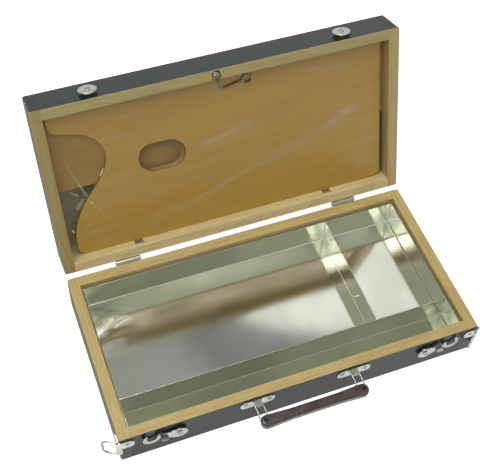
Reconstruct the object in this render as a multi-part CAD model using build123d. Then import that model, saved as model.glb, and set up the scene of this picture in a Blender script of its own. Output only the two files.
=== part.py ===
from build123d import *
import math
import os

os.makedirs("parts", exist_ok=True)

# Artist's brush box: a shallow wooden base with a tinplate tray, and a lid on
# two stop hinges that stands open behind it. Millimetres, X to the right,
# Y towards the hinges, Z up. The origin is the centre of the base's underside.

# Wooden frames
BOX_W = 400.0           # outside width
BOX_D = 200.0           # outside depth
BASE_H = 45.0           # height of the base frame
LID_H = 37.0            # height of the lid frame
BOARD_T = 12.0          # thickness of the frame boards
CORNER_R = 2.5          # rounding of the four upright corners
RIM_ROUND = 0.8         # sanded edges of the rims
PANEL_T = 4.0           # ply panel that closes each frame
PANEL_LAP = 6.0         # how far a panel laps onto the boards
RIM_GAP = 0.2           # between the two rims when the lid is shut
LID_OPEN = 109.0        # angle at which the stop hinges hold the lid

# Stop hinges on the back faces
HINGE_X = 130.0         # hinge centre from the middle of the box
HINGE_LEN = 27.0
HINGE_OUT = 3.0         # pin axis behind the back faces
LEAF_T = 1.2
LEAF_H = 14.0
LEAF_R = 3.0            # rounding of the leaf corners
KNUCKLE_R = 2.6
KNUCKLE_GAP = 0.25      # between neighbouring knuckles, and round each one
PIN_R = 1.1
PIN_FIT = 0.05          # radial running clearance of pins and pivots
PIN_HEAD_R = 1.9
PIN_HEAD_T = 0.8
WIRE_R = 1.1            # wire of the handle loops and the strap rings
HEEL_LEN = 6.0          # stop heel of the lid leaf, from the pin axis
HEEL_W = 7.0
HEEL_GAP = 0.05         # heel to base leaf with the lid open
HINGE_SCREW_PITCH = 15.0
HINGE_SCREW_DROP = 9.5  # screw line from the pin axis

# Screws
SCREW_R = 1.2           # shank
SCREW_LEN = 7.0         # grip in the wood
SCREW_HEAD_R = 2.4
SCREW_HEAD_T = 0.9
SCREW_FIT = 0.03        # radial clearance of a shank in its hole

# Tinplate tray
SHEET_T = 0.6
TRAY_GAP = 1.0          # from the tray to the boards
TRAY_DROP = 7.0         # tray top below the rim
TRAY_BEND_R = 2.0       # outer radius of the folded edges
LONG_DIVIDER_Y = -53.5
CROSS_DIVIDER_X = 102.0

# Palette and the half board behind it, in the lid
PALETTE_DEPTH = 12.0    # palette face below the lid rim
PALETTE_T = 4.0
PALETTE_GAP = 0.5       # palette to the lid boards above and below
PALETTE_RIGHT = 5.0     # gap at the palette's right edge
PALETTE_LEFT = 2.5      # gap at the tip of the palette's arm
PALETTE_R = 10.0        # its rounded right corners
PALETTE_TIP_R = 9.0     # its rounded lower left corner
PALETTE_CUT = 54.0      # depth of the cut-out for the painter's arm
THUMB_X = -73.9
THUMB_Y = -11.0
THUMB_LEN = 48.5
THUMB_WIDTH = 32.5
THUMB_R = 14.5          # rounding of the thumb hole's corners
THUMB_SLANT_X = 3.6     # how far the thumb rest slants back from the hole
THUMB_SLANT_Y = 2.6
HALF_BOARD_T = 4.0
HALF_BOARD_EDGE = 6.0   # lower edge of the half board
NOTCH_X = 113.0         # finger notches in the lid's back rail
NOTCH_R = 5.5
NOTCH_DEPTH = 3.5
NOTCH_FROM_RIM = 4.5

# Wire turn hook that keeps the palette in
HOOK_EYE_X = -7.8       # its screw, on the lid's front rail
HOOK_EYE_SETBACK = 5.6  # screw to the outer face of the rail
HOOK_WIRE_R = 1.2
HOOK_EYE_R = 2.7        # centre line of the eye
HOOK_EYE_REST = 70.5    # direction of the shank, from +X
HOOK_SHANK = 24.5       # eye centre to the bend
HOOK_ARM = 23.5         # bend to the ring at the end
HOOK_ARM_REST = -12.0   # direction of the arm, from +X
HOOK_RING_R = 5.0       # centre line of the end ring
HOOK_STEP_AT = 9.0      # where the shank steps down, from the eye centre
HOOK_STEP_RUN = 5.0
HOOK_REST_GAP = 0.3     # wire to the palette face
RECESS_DEPTH = 4.2      # recess in the rail round the eye
RECESS_W = 10.6
RECESS_FIT = 0.1        # wire above the recess floor
TURN_SCREW_HEAD_R = 3.0
TURN_SCREW_HEAD_T = 1.6

# Side hooks on the base and the catch studs on the lid
CATCH_X = 137.8         # hook pivot and catch stud from the middle
HOOK_Z = 28.5           # pivot height
CATCH_RISE = 30.0       # stud above the pivot, and reach of the hook
HOOK_T = 1.0
HOOK_WASHER_T = 2.0     # washer between the hook and the rail
HOOK_WASHER_R = 3.4
HOOK_SIDE_GAP = 0.2     # hook to the washer, the rivet head and the stud disc
HOOK_REST = 10.9        # rest angle above level
HOOK_PAD_R = 8.4        # round pad at the pivot
HOOK_DROP = 1.2         # pad and horn sit this far below the line of reach
HOOK_NECK_R = 2.4       # half the width of the neck
HOOK_NECK_AT = 17.5
HOOK_HORN_R = 9.3       # round end of the hook
HOOK_HORN_TOP = 4.5     # horn tips above the slot centre
HOOK_TAB_W = 8.0        # bent finger tab
HOOK_TAB_OUT = 3.8
RIVET_R = 1.6
RIVET_HEAD_R = 2.8
RIVET_HEAD_T = 1.2
RIVET_LEN = 7.0         # rivet shank in the wood
STUD_R = 4.9            # spacer that the hook grips
STUD_FIT = 0.4          # slot wall to spacer
DISC_R = 9.7
DISC_T = 0.8
DIMPLE_R = 3.3
DIMPLE_DEPTH = 0.3

# Carrying handle on the front rail
HANDLE_Z = 34.5         # pivot height
PLATE_L = 38.0
PLATE_H = 12.0
PLATE_T = 1.0
PIVOT_OUT = 3.6         # pivot axis in front of the rail
LUG_R = 2.3
LUG_FOOT = 10.0         # height of the lug where it leaves the plate
LUG_SIDE_GAP = 0.2      # lug to the wire legs
LOOP_W = 8.4            # centre lines of the two wire legs
LEG_LEN = 20.9          # pivot to the middle of the grip
LEG_IN_GRIP = 3.0       # leg end short of the grip's middle line
PLATE_SCREW_PITCH = 26.0
GRIP_L = 119.5
EYELET_IN = 5.75        # eyelets, plates and loops from the grip's ends
GRIP_END = 6.8          # radius of the slightly swollen ends
GRIP_W = 10.8           # across the waist
GRIP_T = 9.0
GRIP_ROUND = 2.6
EYELET_R = 2.5
EYELET_BORE = 1.5
EYELET_LIP = 0.4
EYELET_LIP_R = 3.1

# Corner brackets with strap rings
BRACKET_T = 1.2
TAB_TOP = 39.9
TAB_H = 12.4
TAB_REACH = 13.0        # straight part of each tab, from the corner's arc
BRACKET_SCREW_IN = 7.5  # screw from the end of its tab
SLEEVE_MID = 28.2       # height of the sleeve's middle
SLEEVE_H = 23.4
SLEEVE_R = 2.1
SLEEVE_OUT = 3.9        # sleeve axis from the corner's arc centre, to the side
SLEEVE_FORE = 1.9       # and to the front
RING_END_GAP = 0.4      # ring arm to the sleeve's end
RING_ARM = 7.0          # straight part of the arms
RING_BOW = 8.5          # depth of the bow beyond them
RING_LEFT_REST = 152.0  # direction of each ring, from +X
RING_RIGHT_REST = 218.0

# Places that follow from the sizes
FRONT_Y = -BOX_D / 2
BACK_Y = BOX_D / 2
INNER_X = BOX_W / 2 - BOARD_T
INNER_Y = BOX_D / 2 - BOARD_T
RIM_Z = BASE_H + RIM_GAP            # lid rim, lid shut
LID_TOP = RIM_Z + LID_H
HINGE_Y = BACK_Y + HINGE_OUT
HINGE_Z = BASE_H + RIM_GAP / 2
TRAY_X = INNER_X - TRAY_GAP
TRAY_Y = INNER_Y - TRAY_GAP
TRAY_TOP = BASE_H - TRAY_DROP
PALETTE_Z = RIM_Z + PALETTE_DEPTH   # palette face, lid shut
HOOK_FACE_Y = FRONT_Y - HOOK_WASHER_T - HOOK_SIDE_GAP
CATCH_Z = HOOK_Z + CATCH_RISE
HOOK_TAB_END = CATCH_RISE - DISC_R  # clear of the disc when the hook is up
DISC_Y = HOOK_FACE_Y - HOOK_T - HOOK_SIDE_GAP
PIVOT_Y = FRONT_Y - PIVOT_OUT
GRIP_Y = PIVOT_Y - LEG_LEN
CORNER_X = BOX_W / 2 - CORNER_R     # centre of a corner's rounding
CORNER_Y = FRONT_Y + CORNER_R
SLEEVE_X = CORNER_X + SLEEVE_OUT
SLEEVE_Y = CORNER_Y - SLEEVE_FORE
HANDLE_X = GRIP_L / 2 - EYELET_IN   # plate centre from the middle
GRIP_END_X = GRIP_L / 2 - GRIP_END
LUG_W = LOOP_W - 2 * WIRE_R - 2 * LUG_SIDE_GAP


def block(x0, x1, y0, y1, z0, z1):
    """Box between two corners."""
    centre = Pos((x0 + x1) / 2, (y0 + y1) / 2, (z0 + z1) / 2)
    return centre * Box(abs(x1 - x0), abs(y1 - y0), abs(z1 - z0))


def rod(start, end, radius):
    """Round rod between two points."""
    span = Vector(*end) - Vector(*start)
    plane = Plane(origin=start, z_dir=span)
    return plane * Cylinder(radius, span.length, align=(Align.CENTER, Align.CENTER, Align.MIN))


def bent_wire(points, radius):
    """Wire through the points, with ball corners."""
    wire = rod(points[0], points[1], radius)
    for start, end in zip(points[1:], points[2:]):
        wire += Pos(*start) * Sphere(radius)
        wire += rod(start, end, radius)
    return wire


def opened(shape):
    """Turn a piece of the shut lid to where the open lid holds it."""
    return shape.rotate(Axis((0, HINGE_Y, HINGE_Z), (1, 0, 0)), -LID_OPEN)


def screw_y(x, z, face_y, into, plate_t):
    """Round-head screw along Y; into is +1 or -1, towards the wood."""
    head = rod((x, face_y - into * SCREW_HEAD_T, z), (x, face_y, z), SCREW_HEAD_R)
    outer = head.edges().filter_by(GeomType.CIRCLE).sort_by(Axis.Y)[0 if into > 0 else -1]
    head = fillet(outer, SCREW_HEAD_T * 0.6)
    return head + rod((x, face_y, z), (x, face_y + into * (plate_t + SCREW_LEN), z), SCREW_R)


def hole_y(x, z, y0, y1, radius=SCREW_R + SCREW_FIT):
    """Hole for a shank along Y."""
    return rod((x, y0, z), (x, y1, z), radius)


def drill(board, holes):
    for hole in holes:
        board -= hole
    return board


# ---------------------------------------------------------------- wooden frames

def frame_boards(z0, z1, panel_z, rim_z):
    """Two side boards, two rails and a ply panel in a rebate at panel_z."""
    lip = BOARD_T - PANEL_LAP
    panel = block(-BOX_W / 2 + lip, BOX_W / 2 - lip, FRONT_Y + lip, BACK_Y - lip,
                  panel_z, panel_z + PANEL_T)
    frame = block(-BOX_W / 2, BOX_W / 2, FRONT_Y, BACK_Y, z0, z1)
    frame = fillet(frame.edges().filter_by(Axis.Z), CORNER_R)
    frame -= block(-INNER_X, INNER_X, -INNER_Y, INNER_Y, z0, z1)
    rim = frame.faces().filter_by(Axis.Z).sort_by(lambda f: abs(f.center().Z - rim_z))[0]
    frame = fillet(rim.edges(), RIM_ROUND) - panel
    rails = {"front_rail": (FRONT_Y, -INNER_Y), "back_rail": (INNER_Y, BACK_Y)}
    boards = {name: frame & block(-INNER_X, INNER_X, y0, y1, z0, z1) for name, (y0, y1) in rails.items()}
    for name, sign in (("left_side", -1), ("right_side", 1)):
        boards[name] = frame & block(sign * INNER_X, sign * BOX_W / 2, FRONT_Y, BACK_Y, z0, z1)
    return boards, panel


def hinge_screw_places():
    half = HINGE_SCREW_PITCH / 2
    return [side * HINGE_X + step for side in (-1, 1) for step in (-half, half)]


def make_base(parts):
    boards, panel = frame_boards(0, BASE_H, 0, BASE_H)
    z = HINGE_Z - HINGE_SCREW_DROP
    boards["back_rail"] = drill(boards["back_rail"],
                                [hole_y(x, z, BACK_Y - SCREW_LEN, BACK_Y) for x in hinge_screw_places()])
    boards["front_rail"] = drill(
        boards["front_rail"],
        [hole_y(x, HANDLE_Z, FRONT_Y, FRONT_Y + SCREW_LEN) for x in plate_screw_places()]
        + [hole_y(s * CATCH_X, HOOK_Z, FRONT_Y, FRONT_Y + RIVET_LEN, RIVET_R + SCREW_FIT) for s in (-1, 1)])
    for name, sign in (("left_side", -1), ("right_side", 1)):
        x, y, zs = bracket_side_screw(sign)
        boards[name] -= rod((x, y, zs), (x - sign * SCREW_LEN, y, zs), SCREW_R + SCREW_FIT)
        x, zs = bracket_front_screw(sign)
        boards[name] -= hole_y(x, zs, FRONT_Y, FRONT_Y + SCREW_LEN)
    for name, board in boards.items():
        parts["base_" + name] = board
    parts["base_bottom_panel"] = panel


def make_lid(parts):
    boards, panel = frame_boards(RIM_Z, LID_TOP, LID_TOP - PANEL_T, RIM_Z)
    z = HINGE_Z + HINGE_SCREW_DROP
    back = drill(boards["back_rail"],
                 [hole_y(x, z, BACK_Y - SCREW_LEN, BACK_Y) for x in hinge_screw_places()])
    for x in (-NOTCH_X, NOTCH_X):
        centre_y = INNER_Y + NOTCH_DEPTH - NOTCH_R
        back -= rod((x, centre_y, RIM_Z + NOTCH_FROM_RIM), (x, centre_y, PALETTE_Z), NOTCH_R)
    boards["back_rail"] = back
    boards["front_rail"] = drill(
        boards["front_rail"],
        [hole_y(s * CATCH_X, CATCH_Z, FRONT_Y, FRONT_Y + RIVET_LEN, RIVET_R + SCREW_FIT) for s in (-1, 1)])
    boards["front_rail"] -= hook_recess()
    eye_x, eye_y, floor = HOOK_EYE_X, FRONT_Y + HOOK_EYE_SETBACK, RIM_Z + RECESS_DEPTH
    boards["front_rail"] -= rod((eye_x, eye_y, floor), (eye_x, eye_y, floor + SCREW_LEN), SCREW_R + SCREW_FIT)
    for name, board in boards.items():
        parts["lid_" + name] = opened(board)
    parts["lid_panel"] = opened(panel)


# ---------------------------------------------------------------- stop hinges

def knuckle(x0, x1):
    return rod((x0, HINGE_Y, HINGE_Z), (x1, HINGE_Y, HINGE_Z), KNUCKLE_R)


def leaf_plate(x, up):
    """Leaf on the back face, from the pin axis down (up = -1) or up (up = 1)."""
    plate = block(x - HINGE_LEN / 2, x + HINGE_LEN / 2, BACK_Y, BACK_Y + LEAF_T,
                  HINGE_Z, HINGE_Z + up * LEAF_H)
    corners = plate.edges().filter_by(Axis.Y).sort_by(lambda e: up * e.center().Z)[-2:]
    plate = fillet(corners, LEAF_R)
    for step in (-HINGE_SCREW_PITCH / 2, HINGE_SCREW_PITCH / 2):
        plate -= hole_y(x + step, HINGE_Z + up * HINGE_SCREW_DROP, BACK_Y, BACK_Y + LEAF_T)
    return plate


def make_hinges(parts):
    third = HINGE_LEN / 3
    bore_r = PIN_R + PIN_FIT
    for name, sign in (("left", -1), ("right", 1)):
        x = sign * HINGE_X
        low, high = x - HINGE_LEN / 2, x + HINGE_LEN / 2
        mid_low, mid_high = low + third, high - third
        bore = rod((low - 1, HINGE_Y, HINGE_Z), (high + 1, HINGE_Y, HINGE_Z), bore_r)
        room = KNUCKLE_R + KNUCKLE_GAP

        base_leaf = leaf_plate(x, -1)
        base_leaf -= rod((mid_low - KNUCKLE_GAP, HINGE_Y, HINGE_Z), (mid_high + KNUCKLE_GAP, HINGE_Y, HINGE_Z), room)
        base_leaf += knuckle(low, mid_low - KNUCKLE_GAP) + knuckle(mid_high + KNUCKLE_GAP, high)
        parts["hinge_base_leaf_" + name] = base_leaf - bore

        lid_leaf = leaf_plate(x, 1)
        for x0, x1 in ((low - 1, mid_low), (mid_high, high + 1)):
            lid_leaf -= rod((x0, HINGE_Y, HINGE_Z), (x1, HINGE_Y, HINGE_Z), room)
        lid_leaf = opened(lid_leaf) + opened(knuckle(mid_low, mid_high))
        heel_y = BACK_Y + LEAF_T + HEEL_GAP
        lid_leaf += block(x - HEEL_W / 2, x + HEEL_W / 2, heel_y, heel_y + LEAF_T, HINGE_Z - HEEL_LEN, HINGE_Z)
        parts["hinge_lid_leaf_" + name] = lid_leaf - bore

        pin = rod((low, HINGE_Y, HINGE_Z), (high, HINGE_Y, HINGE_Z), PIN_R)
        for start, step in ((low, -1), (high, 1)):
            pin += rod((start, HINGE_Y, HINGE_Z), (start + step * PIN_HEAD_T, HINGE_Y, HINGE_Z), PIN_HEAD_R)
        parts["hinge_pin_" + name] = pin

    face = BACK_Y + LEAF_T
    parts["hinge_screws_base"] = Compound([
        screw_y(x, HINGE_Z - HINGE_SCREW_DROP, face, -1, LEAF_T) for x in hinge_screw_places()])
    parts["hinge_screws_lid"] = Compound([
        opened(screw_y(x, HINGE_Z + HINGE_SCREW_DROP, face, -1, LEAF_T)) for x in hinge_screw_places()])


# ---------------------------------------------------------------- tray

def make_tray(parts):
    pan = block(-TRAY_X, TRAY_X, -TRAY_Y, TRAY_Y, PANEL_T, TRAY_TOP)
    pan = fillet(pan.edges().filter_by(Axis.Z) + pan.faces().sort_by(Axis.Z)[0].edges(), TRAY_BEND_R)
    inner = block(-TRAY_X + SHEET_T, TRAY_X - SHEET_T, -TRAY_Y + SHEET_T, TRAY_Y - SHEET_T,
                  PANEL_T + SHEET_T, TRAY_TOP + 1)
    inner_r = TRAY_BEND_R - SHEET_T
    inner = fillet(inner.edges().filter_by(Axis.Z) + inner.faces().sort_by(Axis.Z)[0].edges(), inner_r)
    parts["tray_pan"] = pan - inner

    half = SHEET_T / 2
    floor = PANEL_T + SHEET_T
    wall_x, wall_y = TRAY_X - SHEET_T, TRAY_Y - SHEET_T
    long_divider = block(-wall_x, wall_x, LONG_DIVIDER_Y - half, LONG_DIVIDER_Y + half, floor, TRAY_TOP)
    foot = long_divider.edges().filter_by(Axis.Y).sort_by(Axis.Z)[:2]
    parts["tray_long_divider"] = chamfer(foot, TRAY_BEND_R)
    cross = block(CROSS_DIVIDER_X - half, CROSS_DIVIDER_X + half, LONG_DIVIDER_Y + half, wall_y, floor, TRAY_TOP)
    foot = cross.edges().filter_by(Axis.X).sort_by(Axis.Z)[:2].sort_by(Axis.Y)[-1]
    parts["tray_cross_divider"] = chamfer(foot, TRAY_BEND_R)


# ---------------------------------------------------------------- lid contents

def palette_outline():
    """Palette with a cut-out for the arm on its left; Y runs to the hinges."""
    left = -INNER_X + PALETTE_LEFT
    right = INNER_X - PALETTE_RIGHT
    near, far = INNER_Y - PALETTE_GAP, -INNER_Y + PALETTE_GAP
    # The cut-out's curve, as shares of its depth and of the palette's height.
    curve = ((0, 0.085), (0.08, 0.124), (0.37, 0.154), (0.7, 0.19), (0.93, 0.26), (1, 0.335), (0.93, 0.435),
             (0.74, 0.525), (0.455, 0.632), (0.256, 0.73), (0.145, 0.83), (0.12, 0.9))
    points = [(left + u * PALETTE_CUT, far + v * (near - far)) for u, v in curve]
    tip = (points[-1][0], near)
    edges = [Spline(*points), Line(points[-1], tip), Line(tip, (right, near)),
             Line((right, near), (right, far)), Line((right, far), (left, far)), Line((left, far), points[0])]
    corners = make_face(edges).vertices()
    outline = fillet(corners.sort_by(Axis.X)[-2:], PALETTE_R)
    low = outline.vertices().sort_by(lambda v: abs(v.X - tip[0]) + abs(v.Y - tip[1]))[0]
    return fillet(low, PALETTE_TIP_R)


def make_lid_contents(parts):
    board = Pos(0, 0, PALETTE_Z) * extrude(palette_outline(), PALETTE_T)
    thumb = RectangleRounded(THUMB_LEN, THUMB_WIDTH, THUMB_R)
    hole = Pos(THUMB_X, THUMB_Y, PALETTE_Z) * extrude(thumb, PALETTE_T)
    slant = Vector(THUMB_SLANT_X, THUMB_SLANT_Y, -PALETTE_T)
    rest = Pos(THUMB_X, THUMB_Y, PALETTE_Z + PALETTE_T) * thumb
    parts["palette"] = opened(board - hole - extrude(rest, slant.length, dir=slant.normalized()))
    back = PALETTE_Z + PALETTE_T
    parts["half_board"] = opened(block(-INNER_X, INNER_X, -INNER_Y, HALF_BOARD_EDGE, back, back + HALF_BOARD_T))


def hook_recess():
    """Recess in the front rail's rim, open to the inside of the lid."""
    eye_y = FRONT_Y + HOOK_EYE_SETBACK
    top = RIM_Z + RECESS_DEPTH
    round_end = rod((HOOK_EYE_X, eye_y, RIM_Z), (HOOK_EYE_X, eye_y, top), HOOK_EYE_SETBACK - 0.9)
    mouth = block(HOOK_EYE_X - RECESS_W / 2, HOOK_EYE_X + RECESS_W / 2, eye_y + 1, -INNER_Y, RIM_Z, top)
    return round_end + mouth


def make_turn_hook(parts):
    """Wire hook: an eye under a screw, a shank that steps down, and an arm with a ring."""
    eye_y = FRONT_Y + HOOK_EYE_SETBACK
    high = RIM_Z + RECESS_DEPTH - RECESS_FIT - HOOK_WIRE_R
    low = PALETTE_Z - HOOK_REST_GAP - HOOK_WIRE_R
    along = Vector(math.cos(math.radians(HOOK_EYE_REST)), math.sin(math.radians(HOOK_EYE_REST)), 0)
    side = Vector(math.cos(math.radians(HOOK_ARM_REST)), math.sin(math.radians(HOOK_ARM_REST)), 0)
    eye = Vector(HOOK_EYE_X, eye_y, high)
    step = eye + along * HOOK_STEP_AT
    foot = eye + along * (HOOK_STEP_AT + HOOK_STEP_RUN) + Vector(0, 0, low - high)
    bend = eye + along * HOOK_SHANK + Vector(0, 0, low - high)
    ring = bend + side * (HOOK_ARM + HOOK_RING_R)
    hook = bent_wire([tuple(eye + along * HOOK_EYE_R), tuple(step), tuple(foot), tuple(bend),
                      tuple(bend + side * HOOK_ARM)], HOOK_WIRE_R)
    hook += Pos(*eye) * Torus(HOOK_EYE_R, HOOK_WIRE_R)
    hook += Pos(*ring) * Torus(HOOK_RING_R, HOOK_WIRE_R)
    parts["turn_hook"] = opened(hook)

    floor = RIM_Z + RECESS_DEPTH
    seat = floor - 2 * HOOK_WIRE_R - 2 * RECESS_FIT
    screw = rod((HOOK_EYE_X, eye_y, seat - TURN_SCREW_HEAD_T), (HOOK_EYE_X, eye_y, seat), TURN_SCREW_HEAD_R)
    screw = fillet(screw.edges().filter_by(GeomType.CIRCLE).sort_by(Axis.Z)[0], TURN_SCREW_HEAD_T * 0.6)
    screw += rod((HOOK_EYE_X, eye_y, seat), (HOOK_EYE_X, eye_y, floor), HOOK_EYE_R - HOOK_WIRE_R - PIN_FIT)
    screw += rod((HOOK_EYE_X, eye_y, floor), (HOOK_EYE_X, eye_y, floor + SCREW_LEN), SCREW_R)
    parts["turn_hook_screw"] = opened(screw)


# ---------------------------------------------------------------- side hooks and catch studs

def hook_profile():
    """Hook in its own plane: pivot at the origin, slot centre on +X, slot open to +Y."""
    slot_r = STUD_R + STUD_FIT
    pad = make_hull((Pos(0, -HOOK_DROP) * Circle(HOOK_PAD_R)).edges()
                    + (Pos(HOOK_NECK_AT, -HOOK_DROP) * Circle(HOOK_NECK_R)).edges())
    neck = Pos(HOOK_NECK_AT, -HOOK_DROP - HOOK_NECK_R) * Rectangle(
        CATCH_RISE - HOOK_NECK_AT, 2 * HOOK_NECK_R, align=Align.MIN)
    horn = Pos(CATCH_RISE, -HOOK_DROP) * Circle(HOOK_HORN_R)
    horn &= Pos(CATCH_RISE, HOOK_HORN_TOP) * Rectangle(
        3 * HOOK_HORN_R, 3 * HOOK_HORN_R, align=(Align.CENTER, Align.MAX))
    ring = Circle(CATCH_RISE + slot_r) - Circle(CATCH_RISE - slot_r)
    way = ring & (Pos(CATCH_RISE, 0) * Rectangle(3 * slot_r, HOOK_HORN_TOP + 1, align=(Align.CENTER, Align.MIN)))
    slot = Pos(CATCH_RISE, 0) * Circle(slot_r)
    return pad + neck + horn - way - slot - Circle(RIVET_R + PIN_FIT)


def side_hook():
    """Right-hand hook at its rest angle."""
    plate = extrude(hook_profile(), HOOK_T)
    low = -HOOK_DROP - HOOK_NECK_R
    tab = block(HOOK_TAB_END - HOOK_TAB_W, HOOK_TAB_END, low, low + HOOK_T, 0, HOOK_T + HOOK_TAB_OUT)
    plate += fillet(tab.edges().filter_by(Axis.Y).sort_by(Axis.Z)[-2:], HOOK_TAB_OUT / 2)
    upright = Plane(origin=(CATCH_X, HOOK_FACE_Y, HOOK_Z), x_dir=(1, 0, 0), z_dir=(0, -1, 0))
    return upright * (Rot(0, 0, HOOK_REST) * plate)


def round_rivet(x, z, seat_y):
    """Rivet along Y whose round head sits at seat_y."""
    head = rod((x, seat_y - RIVET_HEAD_T, z), (x, seat_y, z), RIVET_HEAD_R)
    head = fillet(head.edges().filter_by(GeomType.CIRCLE).sort_by(Axis.Y)[0], RIVET_HEAD_T * 0.7)
    return head + rod((x, seat_y, z), (x, FRONT_Y + RIVET_LEN, z), RIVET_R)


def make_side_hooks(parts):
    hook = side_hook()
    parts["side_hook_right"] = hook
    parts["side_hook_left"] = mirror(hook, about=Plane.YZ)
    places = (-CATCH_X, CATCH_X)
    parts["hook_rivets"] = Compound([
        round_rivet(x, HOOK_Z, HOOK_FACE_Y - HOOK_T - HOOK_SIDE_GAP) for x in places])
    parts["hook_washers"] = Compound([
        rod((x, FRONT_Y, HOOK_Z), (x, FRONT_Y - HOOK_WASHER_T, HOOK_Z), HOOK_WASHER_R)
        - hole_y(x, HOOK_Z, FRONT_Y, FRONT_Y - HOOK_WASHER_T, RIVET_R + SCREW_FIT) for x in places])


def make_catch_studs(parts):
    outer = DISC_Y - DISC_T
    for name, x in (("left", -CATCH_X), ("right", CATCH_X)):
        bore = hole_y(x, CATCH_Z, FRONT_Y + 1, outer - 1, RIVET_R + SCREW_FIT)
        parts["catch_spacer_" + name] = opened(rod((x, FRONT_Y, CATCH_Z), (x, DISC_Y, CATCH_Z), STUD_R) - bore)
        disc = rod((x, DISC_Y, CATCH_Z), (x, outer, CATCH_Z), DISC_R)
        rim = disc.edges().filter_by(GeomType.CIRCLE).sort_by(Axis.Y)[0]
        disc = fillet(rim, DISC_T * 0.6)
        disc -= rod((x, outer, CATCH_Z), (x, outer + DIMPLE_DEPTH, CATCH_Z), DIMPLE_R)
        parts["catch_disc_" + name] = opened(disc - bore)
    parts["catch_rivets"] = Compound([
        opened(round_rivet(x, CATCH_Z, outer + DIMPLE_DEPTH)) for x in (-CATCH_X, CATCH_X)])


# ---------------------------------------------------------------- handle

def plate_screw_places():
    half = PLATE_SCREW_PITCH / 2
    return [side * HANDLE_X + step for side in (-1, 1) for step in (-half, half)]


def handle_plate(x):
    """Oval plate with a pressed lug that holds the wire loop."""
    face = Plane(origin=(x, FRONT_Y, HANDLE_Z), x_dir=(1, 0, 0), z_dir=(0, -1, 0))
    plate = face * extrude(SlotOverall(PLATE_L, PLATE_H), PLATE_T)
    profile = make_hull((Pos(0, PIVOT_OUT) * Circle(LUG_R)).edges()
                        + (Pos(0, PLATE_T / 2) * Rectangle(LUG_FOOT, PLATE_T)).edges())
    side = Plane(origin=(x - LUG_W / 2, FRONT_Y, HANDLE_Z), x_dir=(0, 0, 1), z_dir=(1, 0, 0))
    plate += side * extrude(profile, LUG_W)
    plate -= rod((x - PLATE_L, PIVOT_Y, HANDLE_Z), (x + PLATE_L, PIVOT_Y, HANDLE_Z), WIRE_R + PIN_FIT)
    for step in (-PLATE_SCREW_PITCH / 2, PLATE_SCREW_PITCH / 2):
        plate -= hole_y(x + step, HANDLE_Z, FRONT_Y, FRONT_Y - PLATE_T)
    return plate


def make_handle(parts):
    half = LOOP_W / 2
    leg_end = GRIP_Y + LEG_IN_GRIP
    grip_bottom = HANDLE_Z - GRIP_T / 2
    outline = Rectangle(GRIP_END_X, GRIP_W)
    for sign in (-1, 1):
        outline += make_hull((Pos(sign * GRIP_END_X, 0) * Circle(GRIP_END)).edges()
                             + (Pos(sign * GRIP_END_X / 2, 0) * Circle(GRIP_W / 2)).edges())
    grip = Pos(0, GRIP_Y, grip_bottom) * extrude(outline, GRIP_T)
    faces = grip.faces().sort_by(Axis.Z)
    grip = fillet(faces[0].edges() + faces[-1].edges(), GRIP_ROUND)
    eyelets = []
    for name, sign in (("left", -1), ("right", 1)):
        x = sign * HANDLE_X
        parts["handle_plate_" + name] = handle_plate(x)
        loop = bent_wire([(x - half, leg_end, HANDLE_Z), (x - half, PIVOT_Y, HANDLE_Z),
                          (x + half, PIVOT_Y, HANDLE_Z), (x + half, leg_end, HANDLE_Z)], WIRE_R)
        parts["handle_loop_" + name] = loop
        for step in (-half, half):
            grip -= rod((x + step, PIVOT_Y, HANDLE_Z), (x + step, leg_end, HANDLE_Z), WIRE_R + SCREW_FIT)
        low, high = grip_bottom, grip_bottom + GRIP_T
        grip -= rod((x, GRIP_Y, low - 1), (x, GRIP_Y, high + 1), EYELET_R)
        eyelet = rod((x, GRIP_Y, low), (x, GRIP_Y, high), EYELET_R)
        eyelet += rod((x, GRIP_Y, low - EYELET_LIP), (x, GRIP_Y, low), EYELET_LIP_R)
        eyelet += rod((x, GRIP_Y, high), (x, GRIP_Y, high + EYELET_LIP), EYELET_LIP_R)
        eyelets.append(eyelet - rod((x, GRIP_Y, low - 1), (x, GRIP_Y, high + 1), EYELET_BORE))
    parts["handle_grip"] = grip
    parts["handle_eyelets"] = Compound(eyelets)
    parts["handle_plate_screws"] = Compound([
        screw_y(x, HANDLE_Z, FRONT_Y - PLATE_T, 1, PLATE_T) for x in plate_screw_places()])


# ---------------------------------------------------------------- corner brackets and rings

def bracket_front_screw(sign):
    return sign * (CORNER_X - TAB_REACH + BRACKET_SCREW_IN), TAB_TOP - TAB_H / 2


def bracket_side_screw(sign):
    return sign * BOX_W / 2, CORNER_Y + TAB_REACH - BRACKET_SCREW_IN, TAB_TOP - TAB_H / 2


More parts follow.
